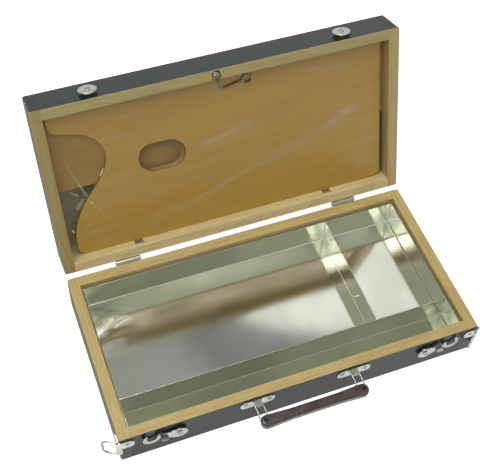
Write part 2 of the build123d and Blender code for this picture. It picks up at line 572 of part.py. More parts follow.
def corner_bracket():
    """Right-hand bracket: a tab on each face, a wrap round the corner and a sleeve."""
    low = TAB_TOP - TAB_H
    side_x = BOX_W / 2
    outer_r = CORNER_R + BRACKET_T
    front = block(CORNER_X - TAB_REACH, CORNER_X, FRONT_Y - BRACKET_T, FRONT_Y, low, TAB_TOP)
    front = fillet(front.edges().filter_by(Axis.Y).sort_by(Axis.X)[:2], TAB_H / 2 - 0.5)
    side = block(side_x, side_x + BRACKET_T, CORNER_Y, CORNER_Y + TAB_REACH, low, TAB_TOP)
    side = fillet(side.edges().filter_by(Axis.X).sort_by(Axis.Y)[-2:], TAB_H / 2 - 0.5)
    quarter = Rectangle(outer_r, outer_r, align=(Align.MIN, Align.MAX))
    wrap = Pos(CORNER_X, CORNER_Y, low) * extrude(Circle(outer_r) & quarter, TAB_H)
    sleeve = make_hull((Circle(outer_r) & quarter).edges()
                       + (Pos(SLEEVE_OUT, -SLEEVE_FORE) * Circle(SLEEVE_R)).edges())
    bottom = SLEEVE_MID - SLEEVE_H / 2
    sleeve = Pos(CORNER_X, CORNER_Y, bottom) * extrude(sleeve, SLEEVE_H)
    bracket = front + side + wrap + sleeve
    bracket -= rod((CORNER_X, CORNER_Y, 0), (CORNER_X, CORNER_Y, BASE_H), CORNER_R)
    bracket -= rod((SLEEVE_X, SLEEVE_Y, 0), (SLEEVE_X, SLEEVE_Y, BASE_H), WIRE_R + PIN_FIT)
    x, z = bracket_front_screw(1)
    bracket -= hole_y(x, z, FRONT_Y, FRONT_Y - BRACKET_T)
    x, y, z = bracket_side_screw(1)
    return bracket - rod((x, y, z), (x + BRACKET_T, y, z), SCREW_R + SCREW_FIT)


def strap_ring(x, direction):
    """D ring with its straight bar in the sleeve."""
    half = SLEEVE_H / 2 + RING_END_GAP + WIRE_R
    bow = Spline((RING_ARM, 0, -half), (RING_ARM + RING_BOW, 0, 0), (RING_ARM, 0, half),
                 tangents=((1, 0, 0), (-1, 0, 0)))
    section = Plane(origin=bow @ 0, z_dir=bow % 0) * Circle(WIRE_R)
    ring = sweep(section, path=bow)
    ring += bent_wire([(RING_ARM, 0, -half), (0, 0, -half), (0, 0, half), (RING_ARM, 0, half)], WIRE_R)
    return Pos(x, SLEEVE_Y, SLEEVE_MID) * Rot(0, 0, direction) * ring


def side_screw(sign):
    x, y, z = bracket_side_screw(sign)
    face = x + sign * BRACKET_T
    head = rod((face, y, z), (face + sign * SCREW_HEAD_T, y, z), SCREW_HEAD_R)
    head = fillet(head.edges().filter_by(GeomType.CIRCLE).sort_by(lambda e: sign * e.center().X)[-1],
                  SCREW_HEAD_T * 0.6)
    return head + rod((face, y, z), (x - sign * SCREW_LEN, y, z), SCREW_R)


def make_brackets(parts):
    bracket = corner_bracket()
    parts["corner_bracket_right"] = bracket
    parts["corner_bracket_left"] = mirror(bracket, about=Plane.YZ)
    parts["strap_ring_left"] = strap_ring(-SLEEVE_X, RING_LEFT_REST)
    parts["strap_ring_right"] = strap_ring(SLEEVE_X, RING_RIGHT_REST)
    screws = [side_screw(-1), side_screw(1)]
    for sign in (-1, 1):
        x, z = bracket_front_screw(sign)
        screws.append(screw_y(x, z, FRONT_Y - BRACKET_T, 1, BRACKET_T))
    parts["bracket_screws"] = Compound(screws)


def build():
    parts = {}
    make_base(parts)
    make_tray(parts)
    make_lid(parts)
    make_hinges(parts)
    make_lid_contents(parts)
    make_turn_hook(parts)
    make_side_hooks(parts)
    make_catch_studs(parts)
    make_handle(parts)
    make_brackets(parts)
    return parts


for node, shape in build().items():
    export_step(shape, "parts/" + node + ".step")
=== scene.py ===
"""Artist's brush box, dressed in beech, paint, ply, tinplate, wire and film.

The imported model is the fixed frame. Each sub-assembly is a class that holds its
sizes, models what goes on its solids and gives every surface its finish.
Lengths are in metres, X to the right, Y towards the hinges and Z up.
"""
from __future__ import annotations

import logging
import math
from dataclasses import dataclass
from enum import Enum
from typing import Callable, Optional, Sequence, Union

import bpy
from mathutils import Matrix, Vector

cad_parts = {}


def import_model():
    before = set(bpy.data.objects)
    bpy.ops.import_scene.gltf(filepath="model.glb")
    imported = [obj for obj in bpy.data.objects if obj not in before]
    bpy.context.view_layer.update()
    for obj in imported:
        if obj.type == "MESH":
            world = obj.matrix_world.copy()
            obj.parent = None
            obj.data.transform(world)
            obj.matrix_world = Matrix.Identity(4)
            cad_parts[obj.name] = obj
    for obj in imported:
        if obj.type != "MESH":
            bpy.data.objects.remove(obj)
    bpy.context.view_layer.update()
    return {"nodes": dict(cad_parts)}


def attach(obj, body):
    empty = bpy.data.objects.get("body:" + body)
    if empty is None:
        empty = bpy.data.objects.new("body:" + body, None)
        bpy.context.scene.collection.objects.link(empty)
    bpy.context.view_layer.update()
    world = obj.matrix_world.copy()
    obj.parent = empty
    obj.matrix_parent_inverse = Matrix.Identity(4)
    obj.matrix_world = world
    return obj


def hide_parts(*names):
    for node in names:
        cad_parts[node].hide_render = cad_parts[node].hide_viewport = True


LOG = logging.getLogger("brush_box")
Colour = tuple[float, float, float]
Piece = bpy.types.Object
Test = Callable[[Sequence[Vector]], bool]
Value = Union[float, Sequence[float], "Field"]

MM = 0.001
TINY = 1e-6
BOX_HALF_X = 0.2        # to the outside of the side boards
BOX_HALF_Y = 0.1        # to the outside of the rails
CORNER = 0.0025         # radius of the upright corners
BASE_RIM = 0.045        # height of the base
LID_RIM = 0.0452        # rim of the shut lid
LID_DEPTH = 0.037       # from the lid's rim to its far face
HINGE_Y = 0.103         # axis that the lid turns about
HINGE_Z = 0.0451
LID_OPEN = math.radians(109.0)
SHUT_TO_OPEN = (Matrix.Translation((0, HINGE_Y, HINGE_Z)) @ Matrix.Rotation(-LID_OPEN, 4, "X")
                @ Matrix.Translation((0, -HINGE_Y, -HINGE_Z)))
THUMB_AT = (-0.0732, -0.0095)   # on the half board, below the middle of the thumb hole
TRAY_FLOOR = 0.0046
TRAY_HALF_X = 0.1867    # to the middle of the sheet of its walls
TRAY_HALF_Y = 0.0867
DIVIDER_X = 0.102       # middle of the cross divider's sheet
DIVIDER_Y = -0.0535     # middle of the long divider's sheet
SHEET_HALF = 0.0003     # half the thickness of the tinplate


def srgb(red: int, green: int, blue: int) -> Colour:
    """Linear colour, 0 to 1, of a display colour, 0 to 255."""
    shares = [level / 255 for level in (red, green, blue)]
    return tuple(share / 12.92 if share <= 0.04045 else ((share + 0.055) / 1.055) ** 2.4 for share in shares)


def times(colour: Colour, share: float) -> Colour:
    """Colour made lighter or darker."""
    return tuple(share * channel for channel in colour)


class Along(Enum):
    """Direction that the grain of a board runs in."""

    X = 0.0
    Y = math.pi / 2


# ---------------------------------------------------------------- node trees

class Field:
    """Level, point or colour over a surface. Arithmetic on levels adds Math nodes."""

    def __init__(self, graph: Graph, socket: bpy.types.NodeSocket) -> None:
        """Keep the tree and the output socket that carries the value."""
        self.graph = graph
        self.socket = socket

    def __add__(self, other: Value) -> Field:
        """Sum."""
        return self.graph.math("ADD", self, other)

    def __sub__(self, other: Value) -> Field:
        """Difference."""
        return self.graph.math("SUBTRACT", self, other)

    def __rsub__(self, other: Value) -> Field:
        """Difference from a number."""
        return self.graph.math("SUBTRACT", other, self)

    def __mul__(self, other: Value) -> Field:
        """Product."""
        return self.graph.math("MULTIPLY", self, other)

    def __truediv__(self, other: Value) -> Field:
        """Quotient."""
        return self.graph.math("DIVIDE", self, other)

    def __abs__(self) -> Field:
        """Level without its sign."""
        return self.graph.math("ABSOLUTE", self)

    def higher(self, other: Value) -> Field:
        """The higher of two levels."""
        return self.graph.math("MAXIMUM", self, other)

    def lower(self, other: Value) -> Field:
        """The lower of two levels."""
        return self.graph.math("MINIMUM", self, other)

    def ease(self, low: Value, high: Value, start: Value = 0.0, end: Value = 1.0) -> Field:
        """Smooth step, which gives start up to low and end from high on."""
        inputs = {0: self, 1: low, 2: high, 3: start, 4: end}
        return self.graph.field("MapRange", inputs, interpolation_type="SMOOTHSTEP")

    def within(self, low: float, high: float, soft: float) -> Field:
        """Level that is 1 from low to high, and fades over soft to each side of both."""
        return self.ease(low - soft, low + soft) * self.ease(high - soft, high + soft, 1.0, 0.0)


class Graph:
    """Node tree, with short calls for the nodes that the finishes use."""

    def __init__(self, tree: bpy.types.NodeTree) -> None:
        """Wrap the tree of a material, a world or a group."""
        self.tree = tree

    @staticmethod
    def paint(name: str) -> tuple[bpy.types.Material, Graph]:
        """Make a material whose tree is empty.

        Args:
            name: Name of the material.

        Returns:
            The material and its tree.
        """
        made = bpy.data.materials.new(name)
        made.use_nodes = True
        made.node_tree.nodes.clear()
        return made, Graph(made.node_tree)

    def show(self, kind: str, inputs: dict[str, Value], output: str = "OutputMaterial") -> None:
        """Add a shader with its inputs by name, and link it to an output node."""
        shader = self.add(kind, inputs)
        self.tree.links.new(shader.outputs[0], self.add(output).inputs[0])

    def put(self, socket: bpy.types.NodeSocket, value: Value) -> None:
        """Link an input socket to a field, or set its constant.

        Args:
            socket: Input socket.
            value: The field or the constant.
        """
        if isinstance(value, Field):
            self.tree.links.new(value.socket, socket)
        elif socket.type == "RGBA" and len(value) == 3:
            socket.default_value = (*value, 1.0)
        else:
            socket.default_value = value

    def add(self, kind: str, inputs: Optional[dict[Union[str, int], Value]] = None,
            **settings: object) -> bpy.types.Node:
        """Add a node.

        Args:
            kind: Node type, without its ShaderNode prefix.
            inputs: Input values by socket name or number.
            **settings: Properties of the node.

        Returns:
            The node.
        """
        node = self.tree.nodes.new("ShaderNode" + kind)
        for name, setting in settings.items():
            setattr(node, name, setting)
        for key, value in (inputs or {}).items():
            self.put(node.inputs[key], value)
        return node

    def field(self, kind: str, inputs: Optional[dict[Union[str, int], Value]] = None,
              output: Union[str, int] = 0, **settings: object) -> Field:
        """Add a node, as add does, and give one of its outputs."""
        return Field(self, self.add(kind, inputs, **settings).outputs[output])

    def math(self, operation: str, *values: Value, clamp: bool = False) -> Field:
        """Result of a Math node."""
        return self.field("Math", dict(enumerate(values)), operation=operation, use_clamp=clamp)

    def vector(self, operation: str, *values: Value) -> Field:
        """Result of a Vector Math node, which is a level for a length or a dot product."""
        output = "Value" if operation in ("LENGTH", "DOT_PRODUCT") else "Vector"
        return self.field("VectorMath", dict(enumerate(values)), output, operation=operation)

    def scaled(self, point: Value, share: Value) -> Field:
        """Point times a level."""
        return self.field("VectorMath", {0: point, "Scale": share}, operation="SCALE")

    def mix(self, share: Value, low: Value, high: Value) -> Field:
        """Colour between two colours."""
        return self.field("Mix", {0: share, 6: low, 7: high}, 2, data_type="RGBA")

    def blend(self, share: Value, low: Value, high: Value) -> Field:
        """Level between two levels."""
        return self.field("Mix", {0: share, 2: low, 3: high})

    def parts(self, point: Field) -> tuple[Field, ...]:
        """X, Y and Z of a point."""
        return tuple(Field(self, output) for output in self.add("SeparateXYZ", {0: point}).outputs[:3])

    def point(self, x: Value = 0.0, y: Value = 0.0, z: Value = 0.0) -> Field:
        """Point with an X, a Y and a Z."""
        return self.field("CombineXYZ", {0: x, 1: y, 2: z})

    def noise(self, point: Value, scale: float, detail: float = 3.0, rough: float = 0.55,
              twist: float = 0.0) -> Field:
        """Level of a noise texture, about 0.5, with its features to a metre as the scale."""
        inputs = {"Vector": point, "Scale": scale, "Detail": detail, "Roughness": rough, "Distortion": twist}
        return self.field("TexNoise", inputs)

    def stretch(self, point: Value, scale: Sequence[float], turn: Sequence[float] = (0, 0, 0),
                move: Sequence[float] = (0, 0, 0)) -> Field:
        """Point put through a Mapping node."""
        return self.field("Mapping", {0: point, 1: move, 2: turn, 3: scale})

    def place(self, in_lid: bool = False) -> Field:
        """Object coordinates.

        Args:
            in_lid: Whether they are turned to those of the shut lid.

        Returns:
            The point.
        """
        point = self.field("TexCoord", output="Object")
        if not in_lid:
            return point
        turn = Matrix.Rotation(LID_OPEN, 3, "X")
        hinge = Vector((0, HINGE_Y, HINGE_Z))
        return self.stretch(point, (1, 1, 1), (LID_OPEN, 0, 0), tuple(hinge - turn @ hinge))

    def facing(self) -> Field:
        """Level that rises from 0 where a surface faces the eye to 1 where it is seen edge on."""
        return self.field("LayerWeight", {"Blend": 0.5}, "Facing")

    def seen(self) -> Field:
        """Level that is 1 where the camera sees a thing, also by a mirror or through film."""
        rays = self.add("LightPath").outputs
        camera, glossy, clear = (Field(self, rays[f"Is {kind} Ray"])
                                 for kind in ("Camera", "Glossy", "Transmission"))
        return camera.higher(glossy.higher(clear))

    def effect(self, effect: type[Effect], **values: Value) -> dict[str, Field]:
        """Place a shared effect.

        Args:
            effect: The effect.
            **values: Its inputs by name.

        Returns:
            Its outputs by name.
        """
        node = self.tree.nodes.new("ShaderNodeGroup")
        node.node_tree = effect.tree()
        for name, value in values.items():
            self.put(node.inputs[name], value)
        return {output.name: Field(self, output) for output in node.outputs}

    def line(self, point: Value, ends: Sequence[float], width: float, level: float = 0.0,
             blunt: float = 0.0) -> Field:
        """Soft line on a flat face.

        Args:
            point: Where the line is read.
            ends: X and Y of its start and of its end, in millimetres.
            width: How far it reaches to each side, in millimetres.
            level: Height of the face.
            blunt: 1 where its ends don't fade.

        Returns:
            The level, 1 in the middle of the line.
        """
        x_from, y_from, x_to, y_to = (MM * end for end in ends)
        return self.effect(SoftLine, Point=point, From=(x_from, y_from, level),
                           Run=(x_to - x_from, y_to - y_from, 0), Width=MM * width, Blunt=blunt)["Level"]

    def bump(self, height: Value, depth: float, strength: float = 1.0,
             under: Optional[Field] = None) -> Field:
        """Normal of a Bump node.

        Args:
            height: Height level.
            depth: Depth in metres that a level of 1 stands for.
            strength: Strength of the bump.
            under: Normal that it adds to.

        Returns:
            The bent normal.
        """
        inputs = {"Strength": strength, "Distance": depth, "Height": height}
        if under is not None:
            inputs["Normal"] = under
        return self.field("Bump", inputs)


class Effect:
    """Node group that more than one finish uses, built once."""

    name: str = ""
    inputs: dict[str, str] = {}
    outputs: tuple[str, ...] = ()

    @classmethod
    def tree(cls) -> bpy.types.NodeTree:
        """Tree of the group, built at its first use."""
        made = bpy.data.node_groups.get(cls.name)
        if made is None:
            made = bpy.data.node_groups.new(cls.name, "ShaderNodeTree")
            for key, kind in cls.inputs.items():
                made.interface.new_socket(key, in_out="INPUT", socket_type="NodeSocket" + kind)
            for key in cls.outputs:
                made.interface.new_socket(key, in_out="OUTPUT", socket_type="NodeSocketFloat")
            graph = Graph(made)
            given = made.nodes.new("NodeGroupInput").outputs
            found = made.nodes.new("NodeGroupOutput").inputs
            levels = cls.levels(graph, *(Field(graph, given[key]) for key in cls.inputs))
            for key, level in zip(cls.outputs, levels):
                graph.put(found[key], level)
        return made

    @staticmethod
    def levels(graph: Graph, *given: Field) -> Sequence[Field]:
        """Make the nodes from the group's inputs in order, and give its outputs in order."""
        raise NotImplementedError


class Grain(Effect):
    """Wood grain along X, whose lines wander."""

    name = "wood_grain"
    inputs = {"Point": "Vector", "Fine": "Float", "Wander": "Float"}
    outputs = ("Streak", "Band", "Fleck")

    @staticmethod
    def levels(graph: Graph, point: Field, fine: Field, wander: Field) -> Sequence[Field]:
        """Fine streaks, broad bands and short ray flecks."""
        shift = graph.noise(graph.stretch(point, (6, 14, 14)), 1.0, 2.0) * wander
        moved = graph.vector("ADD", point, graph.point(y=shift, z=shift))
        close = graph.scaled(graph.stretch(moved, (14, 420, 420)), fine)
        streak = graph.noise(close, 1.0, 4.0, 0.62)
        band = graph.noise(graph.stretch(moved, (3, 75, 75)), 1.0, 2.5, 0.5)
        fleck = graph.noise(graph.stretch(moved, (190, 1500, 1500)), 1.0, 1.0, 0.4)
        return streak.ease(0.28, 0.72), band.ease(0.3, 0.7), fleck.ease(0.63, 0.74)


class Marks(Effect):
    """Handling marks: a cloud and fine scratches."""

    name = "handling_marks"
    inputs = {"Point": "Vector", "Size": "Float"}
    outputs = ("Cloud", "Scratch")

    @staticmethod
    def levels(graph: Graph, point: Field, size: Field) -> Sequence[Field]:
        """A cloud level, and long thin lines."""
        wide = graph.scaled(point, size)
        cloud = graph.noise(wide, 1.0, 4.0, 0.6, 0.6)
        lines = graph.noise(graph.stretch(wide, (0.6, 26, 26), (0.3, 0.2, 0.5)), 1.0, 3.0, 0.7)
        return cloud.ease(0.32, 0.7), lines.ease(0.58, 0.76)


class Shell(Effect):
    """Paint on the outside of a box with rounded upright corners.

    Deep is how far the far face lies from the rim. Side is 1 where the wood lies
    below the rim and -1 where it lies above.
    """

    name = "painted_shell"
    inputs = {"Point": "Vector", "Wobble": "Float", "Rim": "Float", "Deep": "Float", "Side": "Float"}
    outputs = ("Painted", "Corner", "Edge")

    @staticmethod
    def levels(graph: Graph, point: Field, wobble: Field, rim: Field, deep: Field,
               side: Field) -> Sequence[Field]:
        """Where the paint is, and how near a corner and the rim are."""
        x, y, z = graph.parts(point)
        over_x, over_y = abs(x) - (BOX_HALF_X - CORNER), abs(y) - (BOX_HALF_Y - CORNER)
        far_x, far_y = over_x.higher(0.0), over_y.higher(0.0)
        reach = graph.math("SQRT", far_x * far_x + far_y * far_y)
        depth = reach + over_x.higher(over_y).lower(0.0) - CORNER
        outside = (depth + wobble).ease(-0.0007, -0.0004)
        below = (rim - z) * side
        off_rim = (below - wobble).ease(0.0002, 0.0006)
        beyond = (below - deep).ease(-0.0004, -0.0002)
        corner = over_x.ease(-0.001, 0.002) * over_y.ease(-0.001, 0.002)
        return (outside * off_rim).higher(beyond), corner, 1.0 - below.ease(0.0, 0.0025)


class SoftLine(Effect):
    """Level that is 1 on the stretch that runs from From along Run."""

    name = "soft_line"
    inputs = {"Point": "Vector", "From": "Vector", "Run": "Vector", "Width": "Float", "Blunt": "Float"}
    outputs = ("Level",)

    @staticmethod
    def levels(graph: Graph, point: Field, start: Field, run: Field, width: Field,
               blunt: Field) -> Sequence[Field]:
        """Distance to the line, with ends that fade unless they are blunt."""
        arm = graph.vector("SUBTRACT", point, start)
        share = graph.math("DIVIDE", graph.vector("DOT_PRODUCT", arm, run),
                           graph.vector("DOT_PRODUCT", run, run), clamp=True)
        off = graph.vector("LENGTH", graph.vector("SUBTRACT", arm, graph.scaled(run, share)))
        ends = share.ease(0.0, 0.2) * share.ease(0.8, 1.0, 1.0, 0.0)
        return (off.ease(0.0, width, 1.0, 0.0) * ends.higher(blunt),)


# ---------------------------------------------------------------- finishes

@dataclass(frozen=True)
class Finish:
    """Surface finish. Its material is made once, at its first use."""

    name: str
    main: Colour = (0.5, 0.5, 0.5)

    def material(self) -> bpy.types.Material:
        """Material of the finish, made at its first use."""
        made = bpy.data.materials.get(self.name)
        if made is None:
            made, graph = Graph.paint(self.name)
            graph.show("BsdfPrincipled", self.dress(graph))
            made.diffuse_color = (*self.main, 1.0)
        return made

    def dress(self, graph: Graph) -> dict[str, Value]:
        """Make the nodes of the material, and give the inputs of its Principled shader by name."""
        raise NotImplementedError


@dataclass(frozen=True)
class BoardFinish(Finish):
    """Beech board of a frame: bare inside and on the rim, painted outside."""

    main: Colour = srgb(196, 176, 116)
    dark: Colour = srgb(170, 143, 80)
    along: Along = Along.X
    in_lid: bool = False
    fleck: Colour = srgb(136, 106, 62)
    paint: Colour = (0.015, 0.0225, 0.0185)
    # pale colour of the painted sheen on side faces seen edge on
    graze_sheen: Colour = srgb(168, 158, 132)
    offset: float = 0.0
    gloss: float = 0.16
    smooth: float = 0.5
    notch_x: float = -1.0       # middle of the notches, which no board has at -1
    notch_half: float = 0.0061
    notch_front: float = 0.0883
    notch_back: float = 0.0945
    notch_low: float = 0.0464
    notch_dark: float = 0.62

    def notch(self, graph: Graph, point: Field) -> Field:
        """Shade in the two small notches of the lid's back rail.

        Args:
            graph: The material's tree.
            point: Where the shade is read.

        Returns:
            The level of the shade.
        """
        x, y, z = graph.parts(point)
        off = abs(abs(x) - self.notch_x)
        hollow = off.ease(self.notch_half - 0.0003, self.notch_half + 0.0003, 1.0, 0.0)
        hollow = hollow * y.ease(self.notch_front - 0.0002, self.notch_front + 0.0002)
        hollow = hollow * z.ease(self.notch_low - 0.0002, self.notch_low + 0.0002)
        return hollow * y.ease(self.notch_back - 0.0005, self.notch_back + 0.0005, self.notch_dark, 0.0)

    def dress(self, graph: Graph) -> dict[str, Value]:
        """Grain with ray flecks under a wax, and brushed paint with worn edges and a painted sheen on side
        faces seen edge on.
        """
        point = graph.place(self.in_lid)
        turned = graph.stretch(point, (1, 1, 1), (0, 0, self.along.value), (self.offset, self.offset, 0))
        grain = graph.effect(Grain, Point=turned, Fine=1.0, Wander=0.01)
        marks = graph.effect(Marks, Point=point, Size=22.0)
        wood = graph.mix(grain["Streak"], self.dark, self.main)
        wood = graph.mix(grain["Band"] * 0.35, wood, self.main)
        wood = graph.mix(grain["Fleck"] * 0.5, wood, self.fleck)
        wood = graph.mix(marks["Cloud"] * 0.16, wood, self.fleck)
        wood = graph.mix(self.notch(graph, point), wood, srgb(48, 38, 26))

        wobble = (graph.noise(point, 90.0, 4.0, 0.7) - 0.5) * 0.0011
        rim, deep, side = (LID_RIM, LID_DEPTH, -1.0) if self.in_lid else (BASE_RIM, BASE_RIM, 1.0)
        shell = graph.effect(Shell, Point=point, Wobble=wobble, Rim=rim, Deep=deep, Side=side)
        worn = shell["Corner"].higher(shell["Edge"]) * graph.noise(point, 240.0, 5.0, 0.75).ease(0.56, 0.66)
        cover = shell["Painted"] * (1.0 - worn * 0.75)
        grime = graph.noise(graph.stretch(turned, (0.25, 1, 1)), 130.0, 3.0, 0.6).ease(0.35, 0.7)
        paint = graph.mix(grime, self.paint, times(self.paint, 1.28))
        speck = graph.noise(point, 700.0, 2.0, 0.5).ease(0.7, 0.78)
        paint = graph.mix(speck * 0.35, paint, srgb(128, 116, 98))
        sideways = abs(graph.parts(graph.field("NewGeometry", output="Normal"))[0]).ease(0.6, 0.98)
        # painted sheen: side faces seen edge on turn pale and lose their gloss, standing in for their
        # reflection of the bright room
        graze_sheen_share = sideways * graph.facing().ease(0.82, 0.94)
        paint = graph.mix(graze_sheen_share, paint, self.graze_sheen)

        gloss = graph.blend(sideways, self.gloss, graze_sheen_share.ease(0.0, 1.0, 0.04, 0.0))
        bare = grain["Streak"].ease(0.0, 1.0, self.smooth, self.smooth + 0.12)
        coat = marks["Cloud"].ease(0.0, 1.0, 0.18, 0.26)
        ridge = grain["Streak"] + grain["Fleck"] * -0.7
        skin = graph.noise(graph.stretch(turned, (0.3, 1, 1)), 900.0, 2.0, 0.5)
        return {"Base Color": graph.mix(cover, wood, paint),
                "Specular IOR Level": graph.blend(cover, 0.45, gloss),
                "Roughness": graph.blend(cover, bare, coat),
                "Normal": graph.bump(graph.blend(cover, ridge, skin), 0.00009, 0.7)}


@dataclass(frozen=True)
class PlyFinish(Finish):
    """Face veneer of a ply board in the lid, with a figure that wanders along X."""

    main: Colour = srgb(182, 145, 52)
    dark: Colour = srgb(167, 130, 43)
    pore_and_shade: Colour = srgb(128, 96, 40)
    glue: Colour = srgb(92, 68, 34)
    shadow: Colour = srgb(62, 44, 22)
    sheen: float = 0.0
    offset: float = 0.0
    edge_from: float = 0.0      # levels of the two faces, where the cut edge shows
    edge_to: float = 0.0
    shade: float = 0.0          # of the thumb hole on the board below it
    shade_wide: float = 0.0235
    shade_high: float = 0.0155

    def dress(self, graph: Graph) -> dict[str, Value]:
        """Veneer figure with pores, and glue lines on the cut edges."""
        point = graph.place(True)
        x, y, z = graph.parts(point)
        moved = graph.stretch(point, (1, 1, 1), (0, 0, 0.06), (self.offset, self.offset * 0.37, 0))
        grain = graph.effect(Grain, Point=moved, Fine=0.62, Wander=0.03)
        figure = graph.noise(graph.stretch(moved, (5.5, 30, 30)), 1.0, 3.0, 0.5, 0.9)
        board = graph.mix(grain["Streak"], self.dark, self.main)
        board = graph.mix(figure.ease(0.35, 0.68, 0.0, 0.6), board, self.main)
        board = graph.mix(grain["Band"] * 0.4, board, self.dark)
        board = graph.mix(grain["Fleck"] * 0.25, board, self.pore_and_shade)
        coat: Value = self.sheen
        if self.edge_to > self.edge_from:
            layer = graph.math("PINGPONG", z - self.edge_from, (self.edge_to - self.edge_from) / 3)
            inside = z.within(self.edge_from + 0.0003, self.edge_to - 0.0003, 0.0001)
            board = graph.mix(inside * layer.ease(0.0006, 0.0009, 0.6, 1.0) * 0.85, board, self.glue)
            coat = inside.ease(0.0, 0.6, self.sheen, 0.0)
        # painted shade: the veneer darkens towards the lid's front rail, the top of the open lid, where less
        # light falls
        board = graph.mix(y.ease(-0.08, 0.08, 0.12, 0.0), board, self.pore_and_shade)
        off = graph.vector("LENGTH", graph.point((x - THUMB_AT[0]) / self.shade_wide,
                                                 (y - THUMB_AT[1]) / self.shade_high))
        dim = off.ease(0.35, 1.0, 0.16, 0.62) * off.ease(1.2, 1.4, 1.0, 0.0)
        board = graph.mix(dim * self.shade, board, self.shadow)
        ridge = grain["Streak"] + grain["Fleck"] * -0.8
        return {"Base Color": board, "Roughness": grain["Streak"].ease(0.0, 1.0, 0.42, 0.55),
                "Coat Weight": coat, "Coat Roughness": 0.1, "Coat IOR": 1.2,
                "Normal": graph.bump(ridge, 0.00005, 0.5)}


@dataclass(frozen=True)
class PanelFinish(Finish):
    """Ply panel that closes a frame: painted outside, grey-brown and bare inside."""

    main: Colour = (0.015, 0.021, 0.020)
    bare: Colour = srgb(162, 158, 130)
    stain: Colour = srgb(150, 145, 118)
    in_lid: bool = False
    split: float = 0.0

    def dress(self, graph: Graph) -> dict[str, Value]:
        """Bare grain on the inner side of the split level, paint beyond it."""
        point = graph.place(self.in_lid)
        grain = graph.effect(Grain, Point=point, Fine=0.5, Wander=0.02)
        marks = graph.effect(Marks, Point=point, Size=14.0)
        wood = graph.mix(grain["Streak"], self.stain, self.bare)
        wood = graph.mix(marks["Cloud"] * 0.3, wood, self.stain)
        paint = graph.mix(marks["Cloud"], self.main, times(self.main, 1.25))
        paint = graph.mix(marks["Scratch"] * 0.25, paint, srgb(120, 118, 110))
        below, above = (0.0, 1.0) if self.in_lid else (1.0, 0.0)
        outer = graph.parts(point)[2].ease(self.split - 0.0001, self.split + 0.0001, below, above)
        return {"Base Color": graph.mix(outer, wood, paint), "Specular IOR Level": 0.3,
                "Roughness": marks["Cloud"].ease(0.0, 1.0, 0.32, 0.48),
                "Normal": graph.bump(grain["Streak"], 0.00006, 0.6)}


